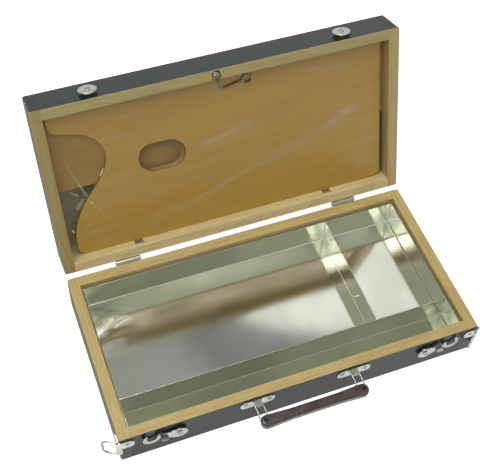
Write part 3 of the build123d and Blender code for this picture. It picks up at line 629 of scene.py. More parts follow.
@dataclass(frozen=True)
class TinplateFinish(Finish):
    """Bright tinplate with rolling lines, soft waves and handling marks."""

    main: Colour = (0.74, 0.75, 0.68)
    dull: Colour = (0.62, 0.63, 0.55)
    shaded: Colour = (0.3, 0.3, 0.23)       # mixed in before the long divider
    # colour of the painted highlights on the floor
    bright: Colour = (0.97, 0.98, 0.94)
    rough: float = 0.085
    bulge: float = 0.033        # lean of the floor's normals
    wave: float = 0.0001
    dent: float = 0.0012
    dent_at: tuple[float, float, float] = (-0.172, 0.062, 0.008)
    fold: float = 0.025
    fold_at: tuple[tuple[float, float], ...] = (
        (DIVIDER_X, TRAY_HALF_Y - SHEET_HALF), (TRAY_HALF_X - SHEET_HALF, TRAY_HALF_Y - SHEET_HALF),
        (TRAY_HALF_X - SHEET_HALF, DIVIDER_Y + SHEET_HALF))
    gleams: tuple[tuple[float, ...], ...] = (   # ends in millimetres, width and strength
        (-194, 41, -156, 64, 9.5, 0.75), (-168, 49, -138, 57, 7, 0.55), (-190, 62, -176, 70, 5, 0.3))

    def gleam(self, graph: Graph, point: Field) -> Value:
        """Painted highlights: soft bright streaks on the floor, which is also made rougher along them.

        Args:
            graph: The material's tree.
            point: Where the streaks are read.

        Returns:
            The level of the streaks.
        """
        level: Value = 0.0
        for *ends, width, strength in self.gleams:
            streak = graph.math("POWER", graph.line(point, ends, width, TRAY_FLOOR), 2.2)
            level = (streak * strength).higher(level)
        return level

    def folds(self, graph: Graph, point: Field) -> Value:
        """Shallow folds that fan out from corners of the floor.

        Args:
            graph: The material's tree.
            point: Where the folds are read.

        Returns:
            Their height, which grows with the distance from the corner.
        """
        x, y, z = graph.parts(point)
        up = z - TRAY_FLOOR
        height: Value = 0.0
        for foot_x, foot_y in self.fold_at:
            out = abs(x - foot_x).higher(abs(y - foot_y))
            reach = graph.math("SQRT", out * out + up * up)
            ray = graph.point(graph.math("ARCTAN2", up, out) * 7.0, foot_x * 90)
            height = graph.noise(ray, 1.0, 2.0, 0.6) * (reach * reach.ease(0.014, 0.03, 1.0, 0.0)) + height
        return height

    def dress(self, graph: Graph) -> dict[str, Value]:
        """Mirror-like metal that is dulled and waved a little."""
        point = graph.place()
        marks = graph.effect(Marks, Point=point, Size=11.0)
        tin = graph.mix(marks["Cloud"] * 0.7, self.main, self.dull)
        trough = graph.parts(point)[1].ease(DIVIDER_Y - 0.0002, DIVIDER_Y + 0.0002, 0.2, 0.0)
        tin = graph.mix(trough, tin, self.shaded)
        gleam = self.gleam(graph, point)
        level = marks["Cloud"].ease(0.0, 1.0, self.rough, self.rough + 0.03) + marks["Scratch"] * 0.03

        facing = graph.field("NewGeometry", output="Normal")
        flat = graph.parts(facing)[2].ease(0.9, 0.98)
        normal = graph.vector("NORMALIZE", graph.vector("ADD", facing, graph.point(y=flat * self.bulge)))
        slow = graph.noise(graph.stretch(point, (1, 1.6, 1)), 9.0, 1.0, 0.4)
        normal = graph.bump(slow, self.wave, 1.0, normal)
        away = graph.vector("LENGTH", graph.vector("SUBTRACT", point, self.dent_at))
        dents = graph.noise(graph.stretch(point, (1, 2.2, 1), (0, 0, 0.35)), 34.0, 0.0)
        normal = graph.bump(away.ease(0.008, 0.042, 1.0, 0.0) * dents, self.dent, 0.9, normal)
        normal = graph.bump(self.folds(graph, point) * (1.0 - flat), self.fold, 1.0, normal)
        rolled = graph.noise(graph.stretch(point, (9, 700, 700)), 1.0, 2.0, 0.5)
        return {"Base Color": graph.mix(gleam, tin, self.bright), "Metallic": 1.0,
                "Roughness": level + gleam * 0.32, "Normal": graph.bump(rolled, 0.0000004, 0.4, normal)}


@dataclass(frozen=True)
class PlatedFinish(Finish):
    """Plated or bare steel of the fittings, with rubbed spots and fine scratches."""

    main: Colour = (0.50, 0.505, 0.46)
    tarnish: Colour = (0.34, 0.34, 0.30)
    shine: float = 0.22
    spread: float = 0.16
    grime: float = 0.5
    size: float = 90.0
    metallic: float = 1.0
    # strength of the painted shade where the metal is seen edge on
    outline: float = 0.0        # how far it darkens where it is seen edge on

    def dress(self, graph: Graph) -> dict[str, Value]:
        """Metal between bright and tarnished."""
        point = graph.place()
        marks = graph.effect(Marks, Point=point, Size=self.size)
        pitted = graph.noise(point, 1400.0, 2.0, 0.6).ease(0.62, 0.74)
        metal = graph.mix(marks["Cloud"].higher(pitted) * self.grime, self.main, self.tarnish)
        # painted shade: the metal darkens where it is seen edge on, a dark outline along wires and rims
        edge = graph.facing().ease(0.45, 0.85) * self.outline
        rough = marks["Cloud"].ease(0.0, 1.0, self.shine, self.shine + self.spread)
        return {"Base Color": graph.mix(edge, metal, times(self.tarnish, 0.35)), "Metallic": self.metallic,
                "Specular Tint": (1 - 0.7 * self.outline,) * 3, "Roughness": rough + marks["Scratch"] * 0.08,
                "Normal": graph.bump(marks["Scratch"] * -0.5 - pitted, 0.00002, 0.5)}


@dataclass(frozen=True)
class GripFinish(Finish):
    """Moulded plastic of the grip: dark maroon, with a rubbed gloss."""

    main: Colour = srgb(45, 32, 27)
    rubbed: Colour = srgb(66, 50, 43)

    def dress(self, graph: Graph) -> dict[str, Value]:
        """Marbled plastic with hand marks."""
        point = graph.place()
        marks = graph.effect(Marks, Point=point, Size=55.0)
        swirl = graph.noise(graph.stretch(point, (20, 90, 90)), 1.0, 4.0, 0.6, 1.4)
        colour = graph.mix(swirl.ease(0.4, 0.68), self.main, self.rubbed)
        return {"Base Color": graph.mix(marks["Scratch"] * 0.2, colour, self.rubbed),
                "Roughness": marks["Cloud"].ease(0.0, 1.0, 0.22, 0.4), "Coat Weight": 0.35,
                "Coat Roughness": 0.12,
                "Normal": graph.bump(graph.noise(point, 1600.0, 2.0, 0.5), 0.00003, 0.5)}


@dataclass(frozen=True)
class FilmFinish(Finish):
    """Thin clear film: nearly unseen, with painted highlights along its creases and a painted sheen where it
    is seen edge on.
    """

    main: Colour = srgb(206, 196, 160)
    white: Colour = (0.92, 0.92, 0.86)
    clear: float = 0.03
    lines: tuple[tuple[float, ...], ...] = (    # ends in millimetres, width, strength and bluntness
        (-174, -35, -171, -20, 1.6, 0.18, 1), (-171, -20, -164, 2, 1.7, 0.28, 1),
        (-164, 2, -155, 25, 1.8, 0.34, 1), (-155, 25, -143, 47, 2, 0.24, 1), (-176, 6, -167, 14, 1.5, 0.5, 0),
        (-171, 29, -164, 19, 3.5, 0.32, 1), (-141, -5, -137, -12, 1.2, 0.9, 1),
        (-181, 54, -180, 58, 1.2, 0.85, 1), (-34, -8, 40, -27, 8, 0.28, 0), (-28, -12, 20, -22, 4, 0.12, 0),
        (-110, 74, -50, 58, 4, 0.12, 0), (-70, 64, 14, 36, 7, 0.17, 0), (-37, 55, 46, 26, 4, 0.17, 0),
        (30, 32, 104, 12, 10, 0.18, 0), (88, 18, 164, -18, 12, 0.18, 0), (84, -74, 158, -60, 4, 0.24, 0),
        (100, -64, 140, -62, 3, 0.18, 0), (140, 48, 182, 30, 6, 0.18, 0), (150, 70, 182, 58, 5.5, 0.18, 0),
        (116, 5, 148, -11, 7, 0.17, 0), (-150, -72, -80, -64, 4, 0.17, 0), (-130, -46, -105, -43, 6, 0.17, 0),
        (-168, 56, -161, 50, 3.5, 0.24, 1), (-146, 60, -152, 76, 4, 0.19, 0),
        (-136, 0, -74, 42, 9, 0.08, 0))

    def dress(self, graph: Graph) -> dict[str, Value]:
        """Film made less clear and whiter along creases and streaks, as painted highlights, and where it is
        seen edge on, as a painted sheen.
        """
        point = graph.place(True)
        flat = graph.stretch(point, (1, 1, 0))
        bent = (graph.noise(flat, 60.0, 2.0) - 0.5) * 0.006
        flat = graph.vector("ADD", flat, graph.point(y=bent))
        # painted highlights: the crease lines and the short sparkling marks raise the alpha, which whitens
        # the film
        creases: Value = 0.0
        for *ends, width, strength, blunt in self.lines:
            creases = graph.line(flat, ends, width, blunt=float(blunt)) * strength + creases
        # painted highlights along soft streaks, in patches
        streak = graph.noise(graph.stretch(point, (20, 130, 1), (0, 0, 0.3)), 1.0, 4.0, 0.65, 0.7)
        patch = graph.noise(graph.stretch(point, (1, 2.4, 1), (0, 0, 0.3)), 17.0, 3.0, 0.6)
        alpha = streak.ease(0.5, 0.78) * patch.ease(0.46, 0.66) * 0.17 + self.clear
        # painted sheen: the film grows less clear where it is seen edge on
        alpha = alpha + creases * patch.ease(0.3, 0.6, 0.55, 1.0) + graph.facing().ease(0.4, 0.8, 0.0, 0.42)
        return {"Base Color": graph.mix(alpha.ease(0.35, 0.7), self.main, self.white),
                "Alpha": alpha.lower(0.9), "Roughness": patch.ease(0.3, 0.7, 0.12, 0.22), "IOR": 1.5,
                "Normal": graph.bump(streak, 0.0004, 0.5)}


class Finishes:
    """The finishes of this box."""

    base_rail = BoardFinish("beech_base_rail", gloss=0.12)
    base_side = BoardFinish("beech_base_side", along=Along.Y, offset=0.31)
    lid_front = BoardFinish("beech_lid_front", srgb(178, 164, 110), srgb(154, 136, 82), Along.X, True,
                            offset=0.77, smooth=0.34, gloss=0.19)
    lid_back = BoardFinish("beech_lid_back", srgb(224, 207, 156), srgb(200, 176, 118), Along.X, True,
                           offset=2.3, smooth=0.4, notch_x=0.113)
    lid_left = BoardFinish("beech_lid_left", srgb(168, 150, 96), srgb(146, 125, 72), Along.Y, True,
                           offset=1.13, smooth=0.34)
    lid_right = BoardFinish("beech_lid_right", srgb(190, 170, 116), srgb(166, 142, 86), Along.Y, True,
                            offset=1.63, smooth=0.34)
    base_panel = PanelFinish("ply_base_panel", split=0.002)
    lid_panel = PanelFinish("ply_lid_panel", in_lid=True, split=0.0802)
    palette = PlyFinish("ply_palette", sheen=1.0, edge_from=0.0572, edge_to=0.0612)
    half_board = PlyFinish("ply_half_board", srgb(158, 124, 54), srgb(142, 110, 44), offset=0.5, shade=1.0)
    tin = TinplateFinish("tray_tinplate")
    # painted highlight: the solder is near-white and barely metallic, so the seams show as bright lines like
    # glints along the tray's joints
    solder = PlatedFinish("solder", (1.0, 1.0, 0.95), (0.78, 0.78, 0.72), 0.25, 0.12, 0.4, metallic=0.1)
    bead = PlatedFinish("tray_hem_tin", (0.86, 0.86, 0.79), (0.32, 0.32, 0.27), 0.16, 0.2, 0.9, 240.0)
    plate = PlatedFinish("fittings_nickel", outline=0.15)
    wire = PlatedFinish("fittings_wire", (0.50, 0.50, 0.48), (0.28, 0.275, 0.26), 0.1, 0.14, 0.5, 140.0,
                        outline=0.9)
    steel = PlatedFinish("fittings_steel", (0.34, 0.34, 0.31), (0.14, 0.135, 0.12), 0.26, 0.2, 0.7, 110.0)
    hinge = PlatedFinish("hinge_steel", (0.50, 0.50, 0.45), (0.30, 0.295, 0.26), 0.34, 0.2, 0.6, 110.0)
    hook = PlatedFinish("hook_nickel", (0.36, 0.365, 0.33), (0.24, 0.24, 0.21), 0.24, 0.16, 0.5, 90.0)
    keeper = PlatedFinish("keeper_steel", (0.19, 0.19, 0.15), (0.1, 0.1, 0.08), 0.36, 0.16, 0.7, 110.0)
    # painted shade: near-black metal on the faces inside screw and rivet recesses, where shade falls; the
    # handle eyelets are coated with it too, as dark steel
    recess = PlatedFinish("screw_recess", (0.07, 0.07, 0.065), (0.03, 0.03, 0.03), 0.5, 0.2, 0.7, 300.0)
    grip = GripFinish("moulded_grip")
    film = FilmFinish("clear_film")


# ---------------------------------------------------------------- modelling steps

class Bench:
    """Steps of modelling by hand, each on one mesh."""

    @staticmethod
    def clear() -> None:
        """Leave edit mode and deselect everything."""
        if bpy.context.object is not None and bpy.context.object.mode != "OBJECT":
            Bench.done()
        bpy.ops.object.select_all(action="DESELECT")
        bpy.context.view_layer.objects.active = None

    @staticmethod
    def take(piece: Piece) -> None:
        """Make a piece the only one selected, and the active one."""
        Bench.clear()
        piece.select_set(True)
        bpy.context.view_layer.objects.active = piece

    @staticmethod
    def named(name: str) -> Piece:
        """Name the piece that was just added, and its mesh."""
        piece = bpy.context.object
        piece.name = piece.data.name = name
        return piece

    @staticmethod
    def pick(piece: Piece, kind: str, test: Test) -> None:
        """Enter edit mode with the matching parts of a mesh selected.

        Args:
            piece: The piece, in object mode.
            kind: EDGE or FACE.
            test: Takes the corners of an edge or a face, and says whether it matches.
        """
        Bench.take(piece)
        bpy.ops.object.mode_set(mode="EDIT")
        bpy.ops.mesh.select_mode(type=kind)
        bpy.ops.mesh.select_all(action="DESELECT")
        Bench.done()
        mesh = piece.data
        for item in mesh.edges if kind == "EDGE" else mesh.polygons:
            item.select = test([mesh.vertices[number].co for number in item.vertices])
        bpy.ops.object.mode_set(mode="EDIT")

    @staticmethod
    def whole(piece: Piece) -> None:
        """Enter edit mode with all of a mesh selected."""
        Bench.take(piece)
        bpy.ops.object.mode_set(mode="EDIT")
        bpy.ops.mesh.select_mode(type="VERT")
        bpy.ops.mesh.select_all(action="SELECT")

    @staticmethod
    def done() -> None:
        """Leave edit mode."""
        bpy.ops.object.mode_set(mode="OBJECT")

    @staticmethod
    def drop(*pieces: Piece) -> None:
        """Delete pieces that were only models or cutters."""
        for piece in pieces:
            Bench.take(piece)
            bpy.ops.object.delete()

    @staticmethod
    def modify(piece: Piece, kind: str, **settings: object) -> None:
        """Add a modifier and apply it.

        Args:
            piece: The piece.
            kind: Modifier type.
            **settings: Properties of the modifier.
        """
        Bench.take(piece)
        modifier = piece.modifiers.new(kind.lower(), kind)
        for name, setting in settings.items():
            setattr(modifier, name, setting)
        bpy.ops.object.modifier_apply(modifier=modifier.name)

    @staticmethod
    def settle(piece: Piece, place: Matrix) -> Piece:
        """Move a piece and put its place into its mesh.

        Args:
            piece: The piece.
            place: Where it goes from where it was modelled.

        Returns:
            The piece.
        """
        Bench.take(piece)
        piece.matrix_world = place @ piece.matrix_world
        bpy.context.view_layer.update()
        bpy.ops.object.transform_apply(location=True, rotation=True, scale=True)
        return piece

    @staticmethod
    def copy(piece: Piece, name: str, place: Matrix) -> Piece:
        """Copy a piece, with a mesh of its own, to another place.

        Args:
            piece: The piece to copy, at the origin.
            name: Name of the copy.
            place: Where the copy goes.

        Returns:
            The copy, with its place in its mesh.
        """
        Bench.take(piece)
        bpy.ops.object.duplicate(linked=False)
        return Bench.settle(Bench.named(name), place)

    @staticmethod
    def join(name: str, pieces: Sequence[Piece]) -> Piece:
        """Join pieces into one.

        Args:
            name: Name of the joined piece.
            pieces: The pieces.

        Returns:
            The joined piece.
        """
        Bench.clear()
        for piece in pieces:
            piece.select_set(True)
        bpy.context.view_layer.objects.active = pieces[0]
        if len(pieces) > 1:
            bpy.ops.object.join()
        return Bench.named(name)

    @staticmethod
    def wire(name: str, path: Sequence[Sequence[float]], radius: float, closed: bool = False) -> Piece:
        """Round bar along a path.

        Args:
            name: Name of the piece.
            path: Its corner points.
            radius: Radius of the bar.
            closed: Whether its end meets its start.

        Returns:
            The bar.
        """
        Bench.clear()
        bpy.ops.mesh.primitive_plane_add(size=MM)
        Bench.whole(Bench.named(name))
        bpy.ops.mesh.merge(type="CENTER")
        bpy.ops.transform.translate(value=path[0])
        corners = [Vector(corner) for corner in (*path, *path[:int(closed)])]
        for start, end in zip(corners, corners[1:]):
            bpy.ops.mesh.extrude_region_move(TRANSFORM_OT_translate={"value": end - start})
        bpy.ops.mesh.select_all(action="SELECT")
        bpy.ops.mesh.remove_doubles(threshold=MM / 100)
        Bench.done()
        bpy.ops.object.convert(target="CURVE")
        curve = bpy.context.object.data
        curve.bevel_depth = radius
        curve.bevel_resolution = 3
        curve.use_fill_caps = True
        bpy.ops.object.convert(target="MESH")
        return Bench.smooth(Bench.named(name), 50.0)

    @staticmethod
    def push(distance: float) -> None:
        """Extrude the selected faces of a mesh along Z."""
        bpy.ops.mesh.extrude_region_move(TRANSFORM_OT_translate={"value": (0, 0, distance)})

    @staticmethod
    def smooth(piece: Piece, angle: float = 35.0) -> Piece:
        """Shade a piece smooth where its faces meet at less than the angle."""
        Bench.take(piece)
        bpy.ops.object.shade_smooth_by_angle(angle=math.radians(angle))
        return piece


@dataclass
class Assembly:
    """Sub-assembly of the box, on one or more CAD bodies."""

    nodes: dict[str, Piece]

    def coat(self, finish: Finish, *names: str) -> None:
        """Give CAD nodes a finish.

        Args:
            finish: The finish.
            *names: The nodes.
        """
        for name in names:
            mesh = self.nodes[name].data
            mesh.materials.clear()
            mesh.materials.append(finish.material())

    def hang(self, piece: Piece, body: str, finish: Finish, slot: Optional[str] = None,
             instead_of: Sequence[str] = ()) -> None:
        """Put a finished piece on a body.

        Args:
            piece: The piece, at the origin.
            body: CAD body that it rides on.
            finish: Its finish, unless its faces have theirs already.
            slot: The record's material slot; not used.
            instead_of: CAD nodes that it stands for.
        """
        if not piece.data.materials:
            piece.data.materials.append(finish.material())
        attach(piece, body)
        if instead_of:
            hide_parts(*instead_of)
        LOG.info("%s rides on %s, %d faces", piece.name, body, len(piece.data.polygons))

    def build(self) -> None:
        """Model the pieces and dress them."""
        raise NotImplementedError


# ---------------------------------------------------------------- sub-assemblies

@dataclass
class Frames(Assembly):
    """Boards and panels of the base and the lid."""

    def build(self) -> None:
        """Dress the boards and the panels."""
        self.coat(Finishes.base_rail, "base_front_rail", "base_back_rail")
        self.coat(Finishes.base_side, "base_left_side", "base_right_side")
        self.coat(Finishes.lid_front, "lid_front_rail")
        self.coat(Finishes.lid_back, "lid_back_rail")
        self.coat(Finishes.lid_left, "lid_left_side")
        self.coat(Finishes.lid_right, "lid_right_side")
        self.coat(Finishes.base_panel, "base_bottom_panel")
        self.coat(Finishes.lid_panel, "lid_panel")


@dataclass
class Tray(Assembly):
    """Tinplate tray with its dividers."""

    top: float = 0.038
    hem: float = 0.00055        # radius of the rolled hems
    seam: float = 0.0005        # radius of the solder
    joint: float = 0.0009       # where it is thickest, at the back right
    cross_foot: float = 0.5     # share of the solder along the foot of a divider
    back_foot: float = 0.6
    front_foot: float = 0.35
    weld_lean: float = 0.513
    weld_y: float = -0.0065
    weld_z: float = 0.0168
    weld_size: tuple[float, float, float] = (0.0003, 0.0005, 0.0125)

    def build(self) -> None:
        """Dress the sheet and add the hems, the solder seams and the weld mark."""
        self.coat(Finishes.tin, "tray_pan", "tray_long_divider", "tray_cross_divider")
        self.hems()
        self.seams()
        self.weld()

    def hems(self) -> None:
        """Rolled hems on the top edges of the sheet."""
        x, y, z = TRAY_HALF_X, TRAY_HALF_Y, self.top
        rim = ((-x, -y, z), (x, -y, z), (x, y, z), (-x, y, z))
        bars = [Bench.wire("rim_hem", rim, self.hem, True),
                Bench.wire("long_hem", ((-x, DIVIDER_Y, z), (x, DIVIDER_Y, z)), self.hem),
                Bench.wire("cross_hem", ((DIVIDER_X, DIVIDER_Y, z), (DIVIDER_X, y, z)), self.hem)]
        self.hang(Bench.join("tray_hems", bars), "base", Finishes.bead, "tinplate")

    def seams(self) -> None:
        """Solder in the joints of the dividers and in the corners."""
        x, y = TRAY_HALF_X - SHEET_HALF, TRAY_HALF_Y - SHEET_HALF
        low, high = TRAY_FLOOR, self.top - MM
        left, right = DIVIDER_X - SHEET_HALF, DIVIDER_X + SHEET_HALF
        front, back = DIVIDER_Y - SHEET_HALF, DIVIDER_Y + SHEET_HALF
        uprights = [(px, py) for py in (y, back) for px in (left, right, x, -x)]
        uprights += [(x, -y), (-x, -y), (x, front)]
        bars = [Bench.wire("upright", ((px, py, low), (px, py, high)),
                           self.joint if py > 0 and px > 0 else self.seam) for px, py in uprights]
        bars += [Bench.wire("cross_foot", ((foot, DIVIDER_Y, low), (foot, y, low)),
                            self.seam * self.cross_foot) for foot in (left, right)]
        bars += [Bench.wire("long_foot", ((-x, foot, low), (x, foot, low)), self.seam * share)
                 for foot, share in ((back, self.back_foot), (front, self.front_foot))]
        self.hang(Bench.join("tray_solder", bars), "base", Finishes.solder, "tinplate")

    def weld(self) -> None:
        """Thin raised mark on the cross divider."""
        Bench.clear()
        bpy.ops.mesh.primitive_uv_sphere_add(segments=20, ring_count=10, radius=1.0)
        place = (Matrix.Translation((DIVIDER_X - SHEET_HALF, self.weld_y, self.weld_z))
                 @ Matrix.Rotation(self.weld_lean, 4, "X") @ Matrix.Diagonal((*self.weld_size, 1.0)))
        mark = Bench.smooth(Bench.settle(Bench.named("tray_weld_mark"), place))
        self.hang(mark, "base", Finishes.bead, "tinplate")


@dataclass
class LidContents(Assembly):
    """Palette, half board and the film round the palette."""

    film_left: float = -0.186
    film_right: float = 0.183
    film_half: float = 0.087
    film_level: float = 0.05705
    slack: float = 0.0009
    hook_x: float = 0.006       # middle of the stretch that the turn hook holds down
    hook_half: float = 0.026
    hook_y: float = -0.046
    hook_ease: float = 0.02     # beside that stretch, over which the slack grows
    edge_slack: float = 0.1     # share of the slack at the film's edges
    edge_ease: float = 0.012

    def build(self) -> None:
        """Dress the boards and stretch the film over the palette."""
        self.coat(Finishes.palette, "palette")
        self.coat(Finishes.half_board, "half_board")
        self.film()

    def loose(self, at: Vector) -> float:
        """How freely the film waves at a point.

        Args:
            at: The point, on the shut lid's film.

        Returns:
            0 under the turn hook, little at the film's edges and 1 elsewhere.
        """
        off = max(abs(at.x - self.hook_x) - self.hook_half, 0.0) if at.y < self.hook_y else 1.0
        edge = min(self.film_half - abs(at.y), at.x - self.film_left, self.film_right - at.x)
        return min(1.0, off / self.hook_ease, self.edge_slack + edge / self.edge_ease)

    def film(self) -> None:
        """Clear film over the palette's face, slack where the turn hook doesn't lie on it."""
        width, height = self.film_right - self.film_left, 2 * self.film_half
        middle = (self.film_left + self.film_right) / 2
        Bench.clear()
        bpy.ops.mesh.primitive_grid_add(x_subdivisions=124, y_subdivisions=58, size=1.0)
        film = Bench.settle(Bench.named("palette_film"), Matrix.Translation((middle, 0, self.film_level))
                            @ Matrix.Diagonal((width, height, 1, 1)))
        group = film.vertex_groups.new(name="loose")
        for vertex in film.data.vertices:
            group.add([vertex.index], self.loose(vertex.co), "REPLACE")
        waves = bpy.data.textures.new("film_waves", "CLOUDS")
        waves.noise_scale = 0.05
        waves.noise_depth = 2
        Bench.modify(film, "DISPLACE", texture=waves, texture_coords="LOCAL", direction="Z",
                     strength=-self.slack, mid_level=0.15, vertex_group="loose")
        Bench.whole(film)
        bpy.ops.mesh.flip_normals()
        Bench.done()
        Bench.settle(Bench.smooth(film, 60.0), SHUT_TO_OPEN)
        self.hang(film, "lid", Finishes.film)
        film.visible_shadow = False


class Facing(Enum):
    """Direction that the head of a screw or a rivet faces."""

    FRONT = Matrix.Rotation(math.pi / 2, 4, "X")
    BACK = Matrix.Rotation(-math.pi / 2, 4, "X")
    LEFT = Matrix.Rotation(-math.pi / 2, 4, "Y")
    RIGHT = Matrix.Rotation(math.pi / 2, 4, "Y")
    DOWN = Matrix.Rotation(math.pi, 4, "X")

    def at(self, x: float, y: float, z: float) -> Matrix:
        """Place of a fastener whose seat is at a point and whose head faces this way."""
        return Matrix.Translation((x, y, z)) @ self.value


@dataclass(frozen=True)
class Fastener:
    """Sizes that screws and rivets share. Their seat is at z 0 and their head above it."""

    head: float
    height: float
    shank: float
    length: float
    rounded: float = 0.6        # share of the height that the head's top edge rounds

    def blank(self, name: str, point: float) -> Piece:
        """Head with a rounded top edge, and a shank with a point.

        Args:
            name: Name of the piece.
            point: Length of the shank's point.

        Returns:
            The blank.
        """
        Bench.clear()
        bpy.ops.mesh.primitive_cylinder_add(vertices=32, radius=self.head, depth=self.height)
        blank = Bench.settle(Bench.named(name), Matrix.Translation((0, 0, self.height / 2)))
        Bench.pick(blank, "FACE", lambda corners: all(corner.z < TINY for corner in corners))
        bpy.ops.mesh.inset(thickness=self.head - self.shank)
        Bench.push(point - self.length)
        if point > 0:
            Bench.push(-point)
            bpy.ops.transform.resize(value=(0.15, 0.15, 1.0))
        Bench.done()
        Bench.pick(blank, "EDGE", self.on_top)
        bpy.ops.mesh.bevel(offset=self.height * self.rounded, segments=3)
        Bench.done()
        return blank

    def on_top(self, corners: Sequence[Vector]) -> bool:
        """Whether all corners lie on the top of the head."""
        return all(corner.z > self.height - TINY for corner in corners)

    @staticmethod
    def darken(piece: Piece, finish: Finish, heights: Sequence[float], radii: Sequence[float]) -> Piece:
        """Give a piece its finish, with painted shade, the near-black recess metal, on some faces.

        Args:
            piece: The piece.
            finish: Its finish.
            heights: Limits for the lowest corner of a dark face.
            radii: Limits for the corner of a dark face that is farthest from the axis.

        Returns:
            The piece.
        """
        def dark(corners: Sequence[Vector]) -> bool:
            """Whether a face lies within both limits."""
            low = min(corner.z for corner in corners)
            far = max(math.hypot(corner.x, corner.y) for corner in corners)
            return heights[0] < low < heights[1] and radii[0] < far < radii[1]

        for coat in (finish, Finishes.recess):
            piece.data.materials.append(coat.material())
        Bench.pick(piece, "FACE", dark)
        piece.active_material_index = 1
        bpy.ops.object.material_slot_assign()
        Bench.done()
        return piece


@dataclass(frozen=True)
class Screw(Fastener):
    """Round-head screw with a cross recess."""

    slot: float = 0.00055
    reach: float = 0.0013
    tip: float = 0.002
    turn: float = 0.6           # of the recess

    def model(self, finish: Finish) -> Piece:
        """Model the screw once.

        Args:
            finish: Finish of its head.

        Returns:
            The screw, at the origin.
        """
        screw = self.blank("screw", self.tip)
        for turn in (self.turn, self.turn + math.pi / 2):
            Bench.clear()
            bpy.ops.mesh.primitive_cube_add(size=1.0)
            place = Matrix.Translation((0, 0, self.height)) @ Matrix.Rotation(turn, 4, "Z")
            cutter = Bench.settle(Bench.named("cutter"), place
                                  @ Matrix.Diagonal((2 * self.reach, self.slot, self.height, 1.0)))
            Bench.modify(screw, "BOOLEAN", operation="DIFFERENCE", object=cutter, solver="EXACT")
            Bench.drop(cutter)
        Bench.smooth(screw, 40.0)
        # painted shade on the faces of the cross recess
        deep = self.height * 0.52
        return self.darken(screw, finish, (deep * 0.5, deep + 10 * TINY), (0.0, self.reach * 1.2))


@dataclass(frozen=True)
class Rivet(Fastener):
    """Rivet whose head has a sunk ring round a domed middle."""

    ring: float = 0.0019
    dome: float = 0.0011
    depth: float = 0.0005

    def model(self, finish: Finish) -> Piece:
        """Model the rivet once.

        Args:
            finish: Finish of its head.

        Returns:
            The rivet, at the origin.
        """
        rivet = self.blank("rivet", 0.0)
        Bench.pick(rivet, "FACE", self.on_top)
        edge = self.head - self.height * self.rounded
        bpy.ops.mesh.inset(thickness=max(edge - self.ring, 0.00005))
        Bench.push(-self.depth)
        bpy.ops.mesh.inset(thickness=self.ring - self.dome)
        Bench.push(self.depth * 0.9)
        bpy.ops.mesh.inset(thickness=self.dome * 0.5)
        bpy.ops.transform.translate(value=(0, 0, self.depth * 0.3))
        Bench.done()
        Bench.smooth(rivet, 50.0)
        # painted shade in the sunk ring round the dome
        floor = self.height - self.depth
        return self.darken(rivet, finish, (floor - 10 * TINY, floor + 10 * TINY),
                           (self.dome * 0.9, self.ring * 1.05))


